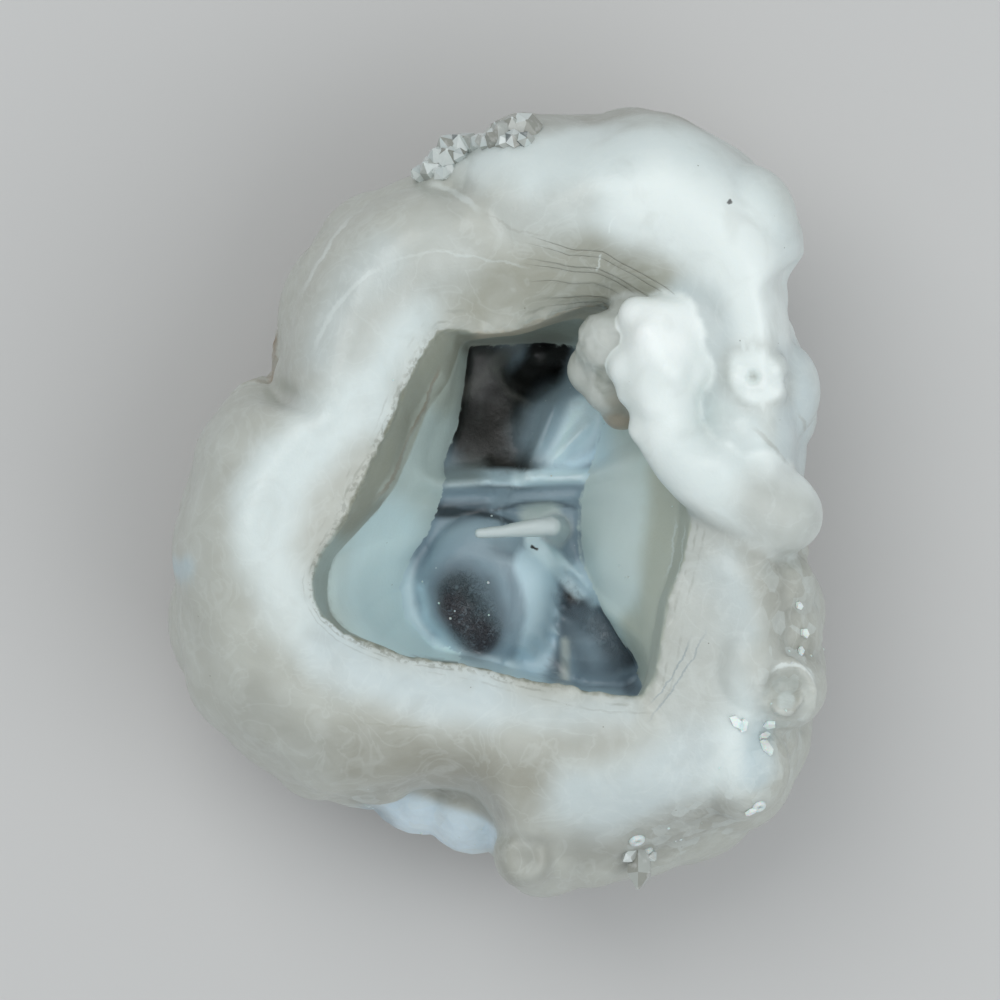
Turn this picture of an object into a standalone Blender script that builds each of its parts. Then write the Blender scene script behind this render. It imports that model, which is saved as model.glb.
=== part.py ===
"""A chalcedony geode, one solid stone: a thick rolled rim round a flat-walled hollow, with a curled arm over its mouth.

Lengths are in millimetres. The origin is under the middle of the stone, +Z points up out of the hollow's mouth,
and +Y points to the stone's long upper lobe. The stone rests on the flat face where it broke from its rock.
"""

import math

import bmesh
import bpy
import numpy as np
from mathutils import Matrix, Vector, noise

MM = 0.001

# The finished stone's size along X, Y and Z. The places below are drawn at this size.
WIDTH = 66.2
LENGTH = 79.3
HEIGHT = 41.6

# The hollow's axis, which every ring of the stone runs round.
AXIS = (0.0, -1.0)
SPOKES = 300
# The underside's flat foot, as a share of the waist, and the neck under the rolled rim.
BASE_SHARE = 0.35
BASE_DEPTH = 1.0
NECK_SHARE = 0.89
NECK_SHARE_SWING = 0.035
NECK_DROP = 9.0
# Below the rim the outline is evened out over this many spokes to each side, so that its notches end there.
EVENED_SPOKES = 14

# Waist: the outline seen from above, at the height where the stone is widest. Clockwise from the top.
WAIST = (
    (3.5, 38.9, 27), (9, 38.7, 28), (15, 39.6, 29), (20, 38.0, 29), (25, 34.8, 28), (28.6, 30.8, 27),
    (30.5, 26, 26), (29.0, 22.4, 25), (29.4, 17, 24), (30.4, 11, 23), (30.0, 6, 23), (30.0, 1, 24),
    (30.4, -4.8, 24), (31.2, -10, 23), (31.2, -15, 22), (31, -20, 22), (30, -24, 22), (28, -28.5, 21),
    (25.5, -32, 21), (20, -34.5, 20), (14, -36.8, 20), (8, -38.2, 20), (3.6, -38.4, 21), (1.0, -36.0, 22),
    (-0.6, -32.4, 23), (-3.4, -29.4, 24), (-7.6, -29.0, 24), (-12, -30.2, 24), (-18.5, -29.6, 24),
    (-24.5, -25.8, 24), (-29.3, -21, 24), (-31.8, -15, 25), (-33.0, -8, 26), (-32.6, -3, 26), (-31, 1.5, 26),
    (-30.2, 5.5, 26), (-28, 8.9, 26), (-25, 10.3, 26), (-22.4, 10.5, 26), (-22.0, 13.6, 26), (-21.3, 19.5, 26),
    (-18.6, 25.8, 26), (-14, 30.4, 26), (-9, 32.4, 26), (-5.2, 32.3, 26), (-2.8, 35.3, 26), (0.5, 38, 27),
)

# Crest: the highest line of the rolled rim.
CREST = (
    (0, 28, 38.6), (8, 30.5, 40.2), (16, 30.5, 41.0), (23, 26, 41.2), (26, 19, 40.4), (26.5, 11, 39.2),
    (26.5, 3, 38.4), (26.8, -2, 37.8), (25.5, -8, 37.2), (25, -15, 36.8), (23.5, -22, 36.2), (19, -27, 35.6),
    (11, -27.5, 35.2), (3, -25, 35.2), (-5, -22.5, 35.6), (-12, -20.5, 36.4), (-18, -17.5, 37.2),
    (-22.5, -12, 38), (-24.5, -6, 38.6), (-24, 0, 38.8), (-20.5, 5, 38.8), (-16.5, 9, 38.6), (-15, 15, 38.6),
    (-13.5, 21, 38.8), (-9, 25.5, 38.8), (-4, 27, 38.4),
)

# Lip: the edge of the mouth, with a corner where two flat walls of the hollow meet.
LIP = (
    (-6.0, 16.9, 35.4), (-2, 16.9, 34.6), (1, 17.3, 33.8), (4, 18.2, 32.8), (7, 19.0, 32), (10, 19.4, 31.6),
    (14, 18, 32), (17.5, 14, 33.4), (19, 8, 34.6), (19.2, 2, 35.4), (19.4, -2, 35.4), (18.5, -6, 35.2),
    (17, -10, 35), (16.5, -14, 34.6), (16, -18, 34), (14.6, -20.2, 33.6), (10, -19.8, 33.6), (6, -19, 33.8),
    (2, -18.3, 34), (-2, -17, 34.4), (-6, -16.5, 34.8), (-10, -16.1, 35.2), (-13, -15, 35.6), (-16, -13.5, 36),
    (-18, -11.8, 36.2), (-18.9, -10, 36.4), (-19, -8, 36.6), (-18.2, -5.5, 36.8), (-16, -2, 37), (-14, 2, 37),
    (-12, 6, 36.8), (-10, 10, 36.6), (-8.5, 13, 36.2), (-7, 15.5, 35.8),
)

# Ledge: where the steep band under the lip turns into the wide flat walls.
LEDGE = (
    (-4.4, 16.6, 26.5), (-2, 16.7, 26), (1, 17.0, 25.5), (4.5, 17.6, 24.5), (8, 18.2, 24), (11, 17.6, 24.5),
    (14, 15, 26.5), (16.5, 10, 28.5), (17.8, 5, 30.4), (18.2, 0, 31.4), (18, -3, 31.4), (17.2, -6.5, 31.2),
    (16, -10, 31), (15.6, -14, 30.6), (15.2, -17.5, 30), (14, -20.4, 28.8), (10, -20.6, 28.6), (6, -19.9, 29),
    (2, -19.2, 29.4), (-2, -18, 30), (-6, -17.3, 30.6), (-10, -16.6, 31.2), (-13, -15.3, 31.8), (-16, -13.5, 32),
    (-17.5, -11.6, 31.6), (-17.9, -9.5, 31.2), (-17.8, -7.5, 30.6), (-17.2, -5.6, 29.8), (-15.5, -3.9, 28.8),
    (-12.8, -1.0, 27.8), (-10.7, 1.7, 27.2), (-8.9, 5.2, 26.8), (-7.4, 8.7, 26.6), (-5.2, 12, 26.5),
    (-4.6, 14.5, 26.5),
)

# Floor edge: where the walls meet the floor, each at the floor's own height there.
FLOOR_EDGE = (
    (-3.3, 16.0), (0, 16.1), (4.5, 16.3), (8, 15.9), (10.4, 13.5), (10.8, 10), (10, 6), (9.2, 2.6), (8.4, 0.7),
    (8.1, -1.4), (8.1, -4), (8.4, -6.2), (9.2, -8.1), (10.5, -10.8), (12.4, -13.5), (13.7, -15.6), (14.6, -18.2),
    (13, -19.3), (9, -19), (5, -18), (1, -17), (-3, -16), (-7, -15), (-10, -12), (-10.5, -9), (-9.5, -6),
    (-7.6, -3.5), (-6.9, -1.7), (-6, 1.2), (-5.8, 4), (-4.5, 7.4), (-3.8, 11.4),
)

# The floor: its level, then domes and dishes as (x, y, reach along x, reach along y, rise).
FLOOR_LEVEL = 12.0
FLOOR_FORMS = (
    (4.2, 14.6, 3.4, 3.2, -4.5),
    (-1.0, 10.0, 4.5, 5.0, -1.6),
    (-0.8, -9.2, 7.4, 7.8, 4.4),
    (-3.2, -10.2, 3.6, 4.4, -1.9),
    (11.0, -14.2, 5.2, 5.2, 3.2),
    (7.0, -10.0, 2.0, 4.0, -1.6),
    (6.6, 8.0, 5.0, 5.0, 1.6),
)
# Low ridges on the floor as (start, end, half width, rise).
FLOOR_RIDGES = (
    ((-7.0, 1.5), (9.0, 2.4), 0.9, 2.6),
    ((-7.0, -0.6), (8.5, 0.4), 0.7, 1.0),
    ((4.0, -3.5), (10.5, -10.5), 0.9, 1.8),
    ((5.5, 9.5), (3.0, 3.0), 0.9, 1.4),
    ((8.8, 7.5), (4.5, 3.2), 0.7, 1.0),
)

# The arm's beads as (x, y, z, radius): the white chain that curls from the right rim over the mouth.
ARM_BEADS = (
    (16.0, 17.2, 37.0, 3.4), (16.4, 14.6, 37.4, 4.0), (16.2, 11.6, 37.4, 3.9), (16.5, 8.6, 37.2, 3.1),
    (17.1, 6.2, 37.0, 3.2), (18.6, 4.2, 36.8, 3.4), (20.6, 2.6, 36.6, 3.8), (23.0, 1.2, 36.2, 4.2),
    (25.6, 0.0, 35.6, 4.5), (27.8, -1.1, 34.4, 4.6), (29.0, -1.5, 32.8, 3.9),
)
# Knobs on the arm that scallop its edges.
ARM_KNOBS = (
    (13.7, 18.4, 37.2, 1.9), (17.8, 18.8, 37.2, 1.9), (19.2, 16.0, 37.6, 1.5), (19.6, 13.2, 37.4, 1.5),
    (19.4, 10.6, 37.4, 1.6), (12.9, 15.6, 37.4, 1.3), (12.6, 12.6, 37.2, 1.5), (13.6, 9.7, 37.0, 1.6),
    (14.6, 6.8, 37.0, 1.4), (18.2, 8.0, 37.4, 1.6), (17.4, 13.0, 40.0, 2.0), (15.0, 16.4, 39.4, 1.8),
    (15.2, 10.6, 39.6, 1.8), (16.4, 6.6, 39.2, 1.5), (22.0, 3.4, 38.4, 2.2), (26.0, 2.6, 37.4, 2.4),
)
# Clear grey lobes that hang from the arm's free end into the hollow.
HANGING_BEADS = (
    (10.2, 16.9, 33.6, 2.5), (9.8, 13.6, 32.2, 2.9), (11.2, 10.9, 31.2, 2.9), (12.8, 8.9, 30.6, 2.3),
    (12.8, 13.6, 33.0, 3.4), (13.6, 17.4, 33.2, 3.2), (15.2, 11.4, 32.6, 3.4), (17.0, 16.6, 31.4, 4.4),
)
# Lobes that swell from the rim as (x, y, z, radius along x, y, z).
RIM_LOBES = (
    (21.8, 18.0, 33.6, 5.0, 8.0, 5.4),
    (25.0, 6.8, 34.0, 5.0, 4.8, 5.8),
    (25.7, 12.2, 36.9, 2.9, 2.9, 3.6),
    (28.4, 11.0, 30.0, 4.2, 5.2, 6.0),
    (27.6, 8.6, 24.0, 4.8, 4.6, 5.6),
    (29.0, -13.4, 28.0, 3.9, 4.9, 5.8),
    (28.4, -18.8, 30.0, 4.9, 4.6, 6.6),
    (28.8, -9.0, 30.0, 3.3, 4.0, 4.6),
    (25.4, -16.5, 33.0, 3.8, 5.6, 5.0),
    (24.5, -27.0, 30.0, 5.0, 5.4, 5.6),
    (2.6, -35.9, 26.4, 3.3, 3.5, 4.8),
    (6.0, -35.2, 24.0, 4.0, 3.8, 5.0),
    (-13.4, -26.6, 16.0, 6.0, 5.0, 6.6),
    (-7.8, -28.8, 14.0, 6.0, 5.4, 7.4),
    (-2.6, -30.4, 15.0, 5.6, 5.8, 8.0),
    (-4.2, 34.2, 26.0, 3.0, 2.2, 4.0),
    (1.6, 36.0, 30.0, 3.2, 3.0, 4.6),
    (24.8, 28.0, 33.0, 5.4, 6.0, 6.5),
)
# Small knobs, and the short spur at the lower edge, as (x, y, z, radius).
KNOBS = (
    (26.4, -31.6, 23.0, 0.9), (13.9, -36.0, 25.0, 1.0), (15.6, -36.3, 24.0, 0.8), (14.0, -37.4, 22.0, 0.9),
    (14.0, -38.3, 21.6, 0.5), (28.9, -19.0, 35.6, 0.9), (22.9, 32.6, 30.0, 0.9),
)
# The thin spindle across the hollow, as (x, y, z, radius), from its free tip to its root.
SPINDLE = (
    (-2.0, -3.3, 19.6, 0.5), (0.4, -3.3, 19.5, 0.65), (2.6, -3.0, 19.2, 0.8), (4.4, -2.4, 18.4, 1.3),
    (5.6, -2.3, 17.2, 1.6), (6.4, -2.8, 15.2, 1.9), (7.0, -3.4, 13.0, 2.2),
)
BEADS_PER_MM = 1.4
BALL_SUBDIVISIONS = 4

# Round dishes sunk in the tops of three lobes as (x, y, lowest point of the lobe's top, radius, depth).
DISHES = ((25.7, 12.2, 37.0, 1.5, 1.8), (28.8, -19.0, 33.0, 2.7, 1.7), (2.6, -36.4, 26.0, 2.3, 1.0))

# Creases where two lobes of the rim meet: points along the crease, half width, depth at its outer end.
CREASES = (
    (((-5.2, 32.6), (-2.5, 30.6), (-0.2, 28.2), (1.0, 25.6)), 1.0, 1.3),
    (((-22.3, 10.6), (-20.4, 10.2), (-17.6, 9.0)), 1.3, 0.7),
    (((29.4, 22.4), (27.4, 21.2), (25.4, 21.4)), 1.3, 0.8),
    (((31.0, -5.2), (28.0, -6.6), (24.6, -6.2), (21.4, -4.4)), 1.1, 1.2),
    (((31.4, -23.2), (28.4, -22.2), (26.6, -20.0)), 1.0, 1.2),
)

# Rounded knobbly growth over the sides and the underside, which dies out towards the rim.
LUMP_SPACING = 6.2
LUMP_REACH = (4.6, 7.4)
LUMP_RISE = 2.6
LUMP_SEED = 7
LUMP_TOP = 30.0
LUMP_FADE = 12.0
# The slow wander of every surface, as (width of a swell, rise).
SWELLS = ((13.0, 0.9), (5.0, 0.22))

VOXEL = 0.55
SMOOTHING_STEPS = 2
TRIANGLES = 9200

MILK_WHITE = (0.70, 0.73, 0.71, 1.0)


def spline(points, steps=8):
    """Points along a closed smooth curve through the given points."""
    ends = np.array(points, float)
    before, after, beyond = np.roll(ends, 1, 0), np.roll(ends, -1, 0), np.roll(ends, -2, 0)
    t = (np.arange(steps) / steps)[None, :, None]
    a, b, c, d = (p[:, None, :] for p in (before, ends, after, beyond))
    curve = b + 0.5 * t * (c - a + t * (2 * a - 5 * b + 4 * c - d + t * (3 * (b - c) + d - a)))
    return curve.reshape(-1, ends.shape[1])


def polygon(points, steps=8):
    """Points along a closed outline with straight sides."""
    ends = np.array(points, float)
    t = (np.arange(steps) / steps)[None, :, None]
    return (ends[:, None, :] * (1 - t) + np.roll(ends, -1, 0)[:, None, :] * t).reshape(-1, ends.shape[1])


def on_spokes(curve, angles):
    """Where each spoke from the hollow's axis meets a closed curve round it."""
    turn = np.unwrap(np.arctan2(curve[:, 1] - AXIS[1], curve[:, 0] - AXIS[0]))
    if turn[-1] < turn[0]:
        turn, curve = turn[::-1], curve[::-1]
    first = np.ceil((turn[0] - angles) / math.tau)
    wanted = angles + first * math.tau
    turn = np.append(turn, turn[0] + math.tau)
    curve = np.vstack([curve, curve[:1]])
    return np.stack([np.interp(wanted, turn, column) for column in curve.T], axis=1)


def distance_to_path(xy, path):
    """Each point's distance to a path in plan, and how far along the path its nearest point is, from 0 to 1."""
    best = np.full(len(xy), 1e9)
    along = np.zeros(len(xy))
    count = len(path) - 1
    for k in range(count):
        a, b = np.array(path[k], float), np.array(path[k + 1], float)
        t = np.clip(((xy - a) @ (b - a)) / ((b - a) @ (b - a)), 0, 1)
        d = np.linalg.norm(xy - (a + t[:, None] * (b - a)), axis=1)
        nearer = d < best
        best[nearer] = d[nearer]
        along[nearer] = (k + t[nearer]) / count
    return best, along


def floor_height(xy):
    """The height of the hollow's floor over each point in plan."""
    z = np.full(len(xy), FLOOR_LEVEL)
    for x, y, reach_x, reach_y, rise in FLOOR_FORMS:
        share = ((xy[:, 0] - x) / reach_x) ** 2 + ((xy[:, 1] - y) / reach_y) ** 2
        z += rise * np.sqrt(np.clip(1 - share, 0, 1)) if rise > 0 else rise * np.exp(-share)
    for start, end, half_width, rise in FLOOR_RIDGES:
        d, _ = distance_to_path(xy, (start, end))
        z += rise * np.exp(-((d / half_width) ** 2))
    return z


def between(a, b, count, bend_plan, bend_height):
    """Rings from ring a to ring b, without a itself. The two bends map a share of the way to one in plan and in height."""
    for k in range(1, count + 1):
        t = k / count
        plan, height = bend_plan(t), bend_height(t)
        yield a + (b - a) * np.array([plan, plan, height])


def quarter_in(t):
    return 1 - math.cos(t * math.pi / 2)


def quarter_out(t):
    return math.sin(t * math.pi / 2)


def straight(t):
    return t


def stone_rings():
    """The rings from the underside up to the rim's crest, and those from there down to the floor's middle."""
    angles = np.arange(SPOKES) / SPOKES * math.tau
    waist, crest = on_spokes(spline(WAIST), angles), on_spokes(spline(CREST), angles)
    lip, ledge = on_spokes(polygon(LIP), angles), on_spokes(polygon(LEDGE), angles)
    edge = on_spokes(polygon(FLOOR_EDGE), angles)
    edge = np.column_stack([edge, floor_height(edge) + 0.6])
    middle = np.array([*AXIS, 0.0])
    evened = np.mean([np.roll(waist, k, 0) for k in range(-EVENED_SPOKES, EVENED_SPOKES + 1)], axis=0)
    base = middle + (evened - middle) * np.array([BASE_SHARE, BASE_SHARE, 0])
    base[:, 2] = -BASE_DEPTH
    outer = [base + (middle - base) * np.array([share, share, 0]) for share in (0.9, 0.6, 0.3, 0.0)]
    neck_share = NECK_SHARE + NECK_SHARE_SWING * np.cos(3 * angles + 1.0) * np.sin(2 * angles)
    neck = middle + (evened - middle) * np.column_stack([neck_share, neck_share, np.ones(SPOKES)])
    neck[:, 2] -= NECK_DROP
    outer += between(base, neck, 12, quarter_out, quarter_in)
    outer += between(neck, waist, 6, quarter_out, quarter_in)
    outer += between(waist, crest, 16, quarter_in, quarter_out)
    inner = [*between(crest, lip, 12, straight, quarter_in)]
    inner += between(lip, ledge, 6, straight, straight)
    inner += between(ledge, edge, 10, straight, straight)
    for share in (0.06, 0.15, 0.25, 0.35, 0.45, 0.55, 0.65, 0.75, 0.85, 0.94):
        ring = edge + (middle - edge) * np.array([share, share, 0])
        ring[:, 2] = floor_height(ring[:, :2])
        inner.append(ring)
    return outer, inner


def lofted(rings):
    """A closed mesh through the rings, with a fan at each end."""
    form = bmesh.new()
    rows = [[form.verts.new(Vector(p)) for p in ring] for ring in rings]
    for low, high in zip(rows, rows[1:]):
        for k in range(SPOKES):
            n = (k + 1) % SPOKES
            form.faces.new((low[k], low[n], high[n], high[k]))
    for row, turned in ((rows[0], True), (rows[-1], False)):
        centre = sum((v.co for v in row), Vector()) / SPOKES
        pole = form.verts.new(centre)
        for k in range(SPOKES):
            n = (k + 1) % SPOKES
            form.faces.new((pole, row[n], row[k]) if turned else (pole, row[k], row[n]))
    bmesh.ops.recalc_face_normals(form, faces=form.faces)
    return form


def move_along_normals(form, rise):
    """Moves each vertex along its normal by rise, an array in the order of the vertices."""
    form.normal_update()
    for vert, distance in zip(form.verts, rise):
        vert.co += vert.normal * float(distance)


def places_of(form):
    return np.array([v.co for v in form.verts])


def swell_with_lumps(form, outer_points):
    """Raises overlapping rounded lumps on the first outer_points of the mesh, up to a height below the rim."""
    chance = np.random.default_rng(LUMP_SEED)
    points = places_of(form)
    fade = np.clip((LUMP_TOP - points[:, 2]) / LUMP_FADE, 0, 1)
    fade[outer_points:] = 0
    rise = np.zeros(len(points))
    left = chance.permutation(np.flatnonzero(fade))
    while len(left):
        place = points[left[0]]
        left = left[np.linalg.norm(points[left] - place, axis=1) > LUMP_SPACING]
        reach = chance.uniform(*LUMP_REACH)
        rise = np.maximum(rise, 1 - (np.linalg.norm(points - place, axis=1) / reach) ** 2)
    move_along_normals(form, LUMP_RISE * rise * fade)


def wander(form):
    """Lets every surface wander a little in and out, as grown stone does."""
    rise = [
        sum(height * noise.noise(Vector(p) / width) for width, height in SWELLS)
        for p in places_of(form)
    ]
    move_along_normals(form, rise)


def sink_creases(form):
    """Sinks the creases where lobes of the rim meet, deepest at the outline."""
    points = places_of(form)
    depth = np.zeros(len(points))
    for path, half_width, deepest in CREASES:
        d, along = distance_to_path(points[:, :2], path)
        depth += deepest * (1 - 0.8 * along) * np.exp(-((d / half_width) ** 2))
    move_along_normals(form, -depth * (points[:, 2] > 18))


def unit_ball():
    """A mesh of a ball of radius 1."""
    form = bmesh.new()
    bmesh.ops.create_icosphere(form, subdivisions=BALL_SUBDIVISIONS, radius=1.0)
    mesh = bpy.data.meshes.new("ball")
    form.to_mesh(mesh)
    form.free()
    return mesh


def add_ball(form, ball, centre, radii):
    """Adds a closed ball or ellipsoid, a copy of the unit ball, to the mesh."""
    placed = ball.copy()
    placed.transform(Matrix.Translation(Vector(centre)) @ Matrix.Diagonal((*radii, 1)))
    form.from_mesh(placed)
    bpy.data.meshes.remove(placed)


def add_chain(form, ball, beads):
    """Adds balls along a chain of (x, y, z, radius), close enough together to fuse into one lobed rod."""
    for a, b in zip(beads, beads[1:]):
        a, b = np.array(a), np.array(b)
        count = max(1, round(float(np.linalg.norm((b - a)[:3])) * BEADS_PER_MM))
        for k in range(count):
            *centre, radius = a + (b - a) * k / count
            add_ball(form, ball, centre, (radius,) * 3)
    *centre, radius = beads[-1]
    add_ball(form, ball, centre, (radius,) * 3)


def add_growth(form):
    """Adds the arm, its hanging lobes, the rim's lobes, the knobs and the spindle."""
    ball = unit_ball()
    add_chain(form, ball, ARM_BEADS)
    for group in (ARM_KNOBS, HANGING_BEADS, KNOBS):
        for x, y, z, radius in group:
            add_ball(form, ball, (x, y, z), (radius,) * 3)
    for x, y, z, *radii in RIM_LOBES:
        add_ball(form, ball, (x, y, z), radii)
    add_chain(form, ball, SPINDLE)


def object_from(form, name):
    """A scene object with the given mesh, in metres."""
    bmesh.ops.scale(form, vec=(MM, MM, MM), verts=form.verts)
    mesh = bpy.data.meshes.new(name)
    form.to_mesh(mesh)
    form.free()
    made = bpy.data.objects.new(name, mesh)
    bpy.context.scene.collection.objects.link(made)
    return made


def settle(thing):
    """Replaces the object's mesh by what its modifiers make of it, and returns the number of triangles."""
    graph = bpy.context.evaluated_depsgraph_get()
    mesh = bpy.data.meshes.new_from_object(thing.evaluated_get(graph))
    thing.modifiers.clear()
    thing.data = mesh
    mesh.calc_loop_triangles()
    return len(mesh.loop_triangles)


def points_of(mesh):
    """The places of a mesh's vertices, as an array."""
    points = np.empty(len(mesh.vertices) * 3, np.float32)
    mesh.vertices.foreach_get("co", points)
    return points.reshape(-1, 3)


def sink_dishes(mesh):
    """Lowers the middle of each dish, and leaves its edge where it was."""
    points = points_of(mesh)
    for x, y, lowest, radius, depth in DISHES:
        away = np.hypot(points[:, 0] / MM - x, points[:, 1] / MM - y)
        share = np.clip(1 - (away / radius) ** 2, 0, 1) ** 2
        points[:, 2] -= depth * MM * share * (points[:, 2] > lowest * MM)
    mesh.vertices.foreach_set("co", points.ravel())


def fuse(thing):
    """Fuses everything in the mesh into one skin, softens its creases, sinks its dishes and thins its faces."""
    remesh = thing.modifiers.new("fuse", "REMESH")
    remesh.mode = "VOXEL"
    remesh.voxel_size = VOXEL * MM
    soften = thing.modifiers.new("soften", "SMOOTH")
    soften.factor = 0.5
    soften.iterations = SMOOTHING_STEPS
    count = settle(thing)
    sink_dishes(thing.data)
    thin = thing.modifiers.new("thin", "DECIMATE")
    thin.ratio = TRIANGLES / count
    settle(thing)


def cut_flat(thing):
    """Cuts the underside off flat at height 0, where the stone broke from its rock."""
    form = bmesh.new()
    form.from_mesh(thing.data)
    everything = form.verts[:] + form.edges[:] + form.faces[:]
    cut = bmesh.ops.bisect_plane(form, geom=everything, plane_co=(0, 0, 0), plane_no=(0, 0, 1), clear_inner=True)
    rim = [e for e in cut["geom_cut"] if isinstance(e, bmesh.types.BMEdge)]
    bmesh.ops.contextual_create(form, geom=rim)
    form.to_mesh(thing.data)
    form.free()


def set_to_size(mesh):
    """Puts the origin under the middle of the stone and brings the stone to its exact size."""
    points = points_of(mesh)
    low, high = points.min(axis=0), points.max(axis=0)
    middle = (low + high) / 2
    middle[2] = 0
    size = np.array((WIDTH, LENGTH, HEIGHT), np.float32) * MM
    points = (points - middle) * size / (high - low)
    mesh.vertices.foreach_set("co", points.ravel())


def milky_material():
    """Milky, waxy chalcedony."""
    material = bpy.data.materials.new("chalcedony")
    material.use_nodes = True
    shader = material.node_tree.nodes["Principled BSDF"]
    shader.inputs["Base Color"].default_value = MILK_WHITE
    shader.inputs["Roughness"].default_value = 0.38
    shader.inputs["Metallic"].default_value = 0.0
    shader.inputs["IOR"].default_value = 1.54
    return material


def main():
    for thing in list(bpy.data.objects):
        bpy.data.objects.remove(thing)
    outer, inner = stone_rings()
    form = lofted(outer + inner)
    swell_with_lumps(form, len(outer) * SPOKES)
    wander(form)
    sink_creases(form)
    add_growth(form)
    stone = object_from(form, "chalcedony")
    fuse(stone)
    cut_flat(stone)
    set_to_size(stone.data)
    stone.data.materials.clear()
    stone.data.materials.append(milky_material())
    stone.data.shade_smooth()
    stone.data.set_sharp_from_angle(angle=math.radians(40))


main()
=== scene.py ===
"""Dresses the chalcedony geode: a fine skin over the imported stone's own forms, with its growth lines, druse and crystals.

Drawn places are in millimetres, as seen from above, in the stone's own drawing. Every finished mesh is in metres in
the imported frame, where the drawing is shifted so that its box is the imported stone's box.
"""

import logging
import math
from collections.abc import Callable, Iterator, Sequence
from dataclasses import dataclass, field
from enum import Enum

import bmesh
import bpy
import numpy as np
from mathutils import Matrix, Vector, noise
from mathutils.bvhtree import BVHTree


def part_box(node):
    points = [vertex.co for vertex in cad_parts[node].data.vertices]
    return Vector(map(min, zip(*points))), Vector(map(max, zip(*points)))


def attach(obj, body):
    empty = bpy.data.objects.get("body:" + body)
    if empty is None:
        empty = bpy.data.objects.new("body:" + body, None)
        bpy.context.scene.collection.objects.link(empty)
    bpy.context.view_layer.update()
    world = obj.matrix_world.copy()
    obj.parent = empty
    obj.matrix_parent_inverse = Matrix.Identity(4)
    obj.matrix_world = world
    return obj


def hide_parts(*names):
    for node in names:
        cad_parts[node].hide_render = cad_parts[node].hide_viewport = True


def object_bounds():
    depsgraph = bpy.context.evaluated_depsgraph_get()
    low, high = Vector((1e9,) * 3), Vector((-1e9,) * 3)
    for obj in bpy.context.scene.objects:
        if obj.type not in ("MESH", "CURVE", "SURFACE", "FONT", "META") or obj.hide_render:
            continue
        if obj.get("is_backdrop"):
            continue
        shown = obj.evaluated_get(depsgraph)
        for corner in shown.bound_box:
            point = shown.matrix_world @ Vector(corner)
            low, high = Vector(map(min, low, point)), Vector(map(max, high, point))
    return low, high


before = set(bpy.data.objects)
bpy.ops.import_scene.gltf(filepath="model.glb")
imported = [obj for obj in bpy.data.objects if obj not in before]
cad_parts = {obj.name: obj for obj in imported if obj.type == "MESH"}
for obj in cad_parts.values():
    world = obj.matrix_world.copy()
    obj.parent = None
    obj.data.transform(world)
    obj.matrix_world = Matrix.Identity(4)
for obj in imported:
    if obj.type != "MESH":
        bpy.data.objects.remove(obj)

log = logging.getLogger("chalcedony")

MM = 0.001
NODE = "chalcedony"
BODY = "root"

Place = tuple[float, ...]
Places = tuple[Place, ...]
Bend = Callable[[float], float]

# The hollow's axis, which every ring of the stone runs round.
AXIS: Place = (0.0, -1.0)

# Waist: the outline seen from above, at the height where the stone is widest. Clockwise from the top.
WAIST: Places = (
    (3.5, 38.9, 27), (9, 38.7, 28), (15, 39.6, 29), (20, 38.0, 29), (25, 34.8, 28), (28.6, 30.8, 27),
    (30.5, 26, 26), (29.0, 22.4, 25), (29.4, 17, 24), (30.4, 11, 23), (30.0, 6, 23), (30.0, 1, 24),
    (30.4, -4.8, 24), (31.2, -10, 23), (31.2, -15, 22), (31, -20, 22), (30, -24, 22), (28, -28.5, 21),
    (25.5, -32, 21), (20, -34.5, 20), (14, -36.8, 20), (8, -38.2, 20), (3.6, -38.4, 21), (1.0, -36.0, 22),
    (-0.6, -32.4, 23), (-3.4, -29.4, 24), (-7.6, -29.0, 24), (-12, -30.2, 24), (-18.5, -29.6, 24),
    (-24.5, -25.8, 24), (-29.3, -21, 24), (-31.8, -15, 25), (-33.0, -8, 26), (-32.6, -3, 26), (-31, 1.5, 26),
    (-30.2, 5.5, 26), (-28, 8.9, 26), (-25, 10.3, 26), (-22.4, 10.5, 26), (-22.0, 13.6, 26), (-21.3, 19.5, 26),
    (-18.6, 25.8, 26), (-14, 30.4, 26), (-9, 32.4, 26), (-5.2, 32.3, 26), (-2.8, 35.3, 26), (0.5, 38, 27),
)

# Crest: the highest line of the rolled rim.
CREST: Places = (
    (0, 28, 38.6), (8, 30.5, 40.2), (16, 30.5, 41.0), (23, 26, 41.2), (26, 19, 40.4), (26.5, 11, 39.2),
    (26.5, 3, 38.4), (26.8, -2, 37.8), (25.5, -8, 37.2), (25, -15, 36.8), (23.5, -22, 36.2), (19, -27, 35.6),
    (11, -27.5, 35.2), (3, -25, 35.2), (-5, -22.5, 35.6), (-12, -20.5, 36.4), (-18, -17.5, 37.2),
    (-22.5, -12, 38), (-24.5, -6, 38.6), (-24, 0, 38.8), (-20.5, 5, 38.8), (-16.5, 9, 38.6), (-15, 15, 38.6),
    (-13.5, 21, 38.8), (-9, 25.5, 38.8), (-4, 27, 38.4),
)

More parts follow.
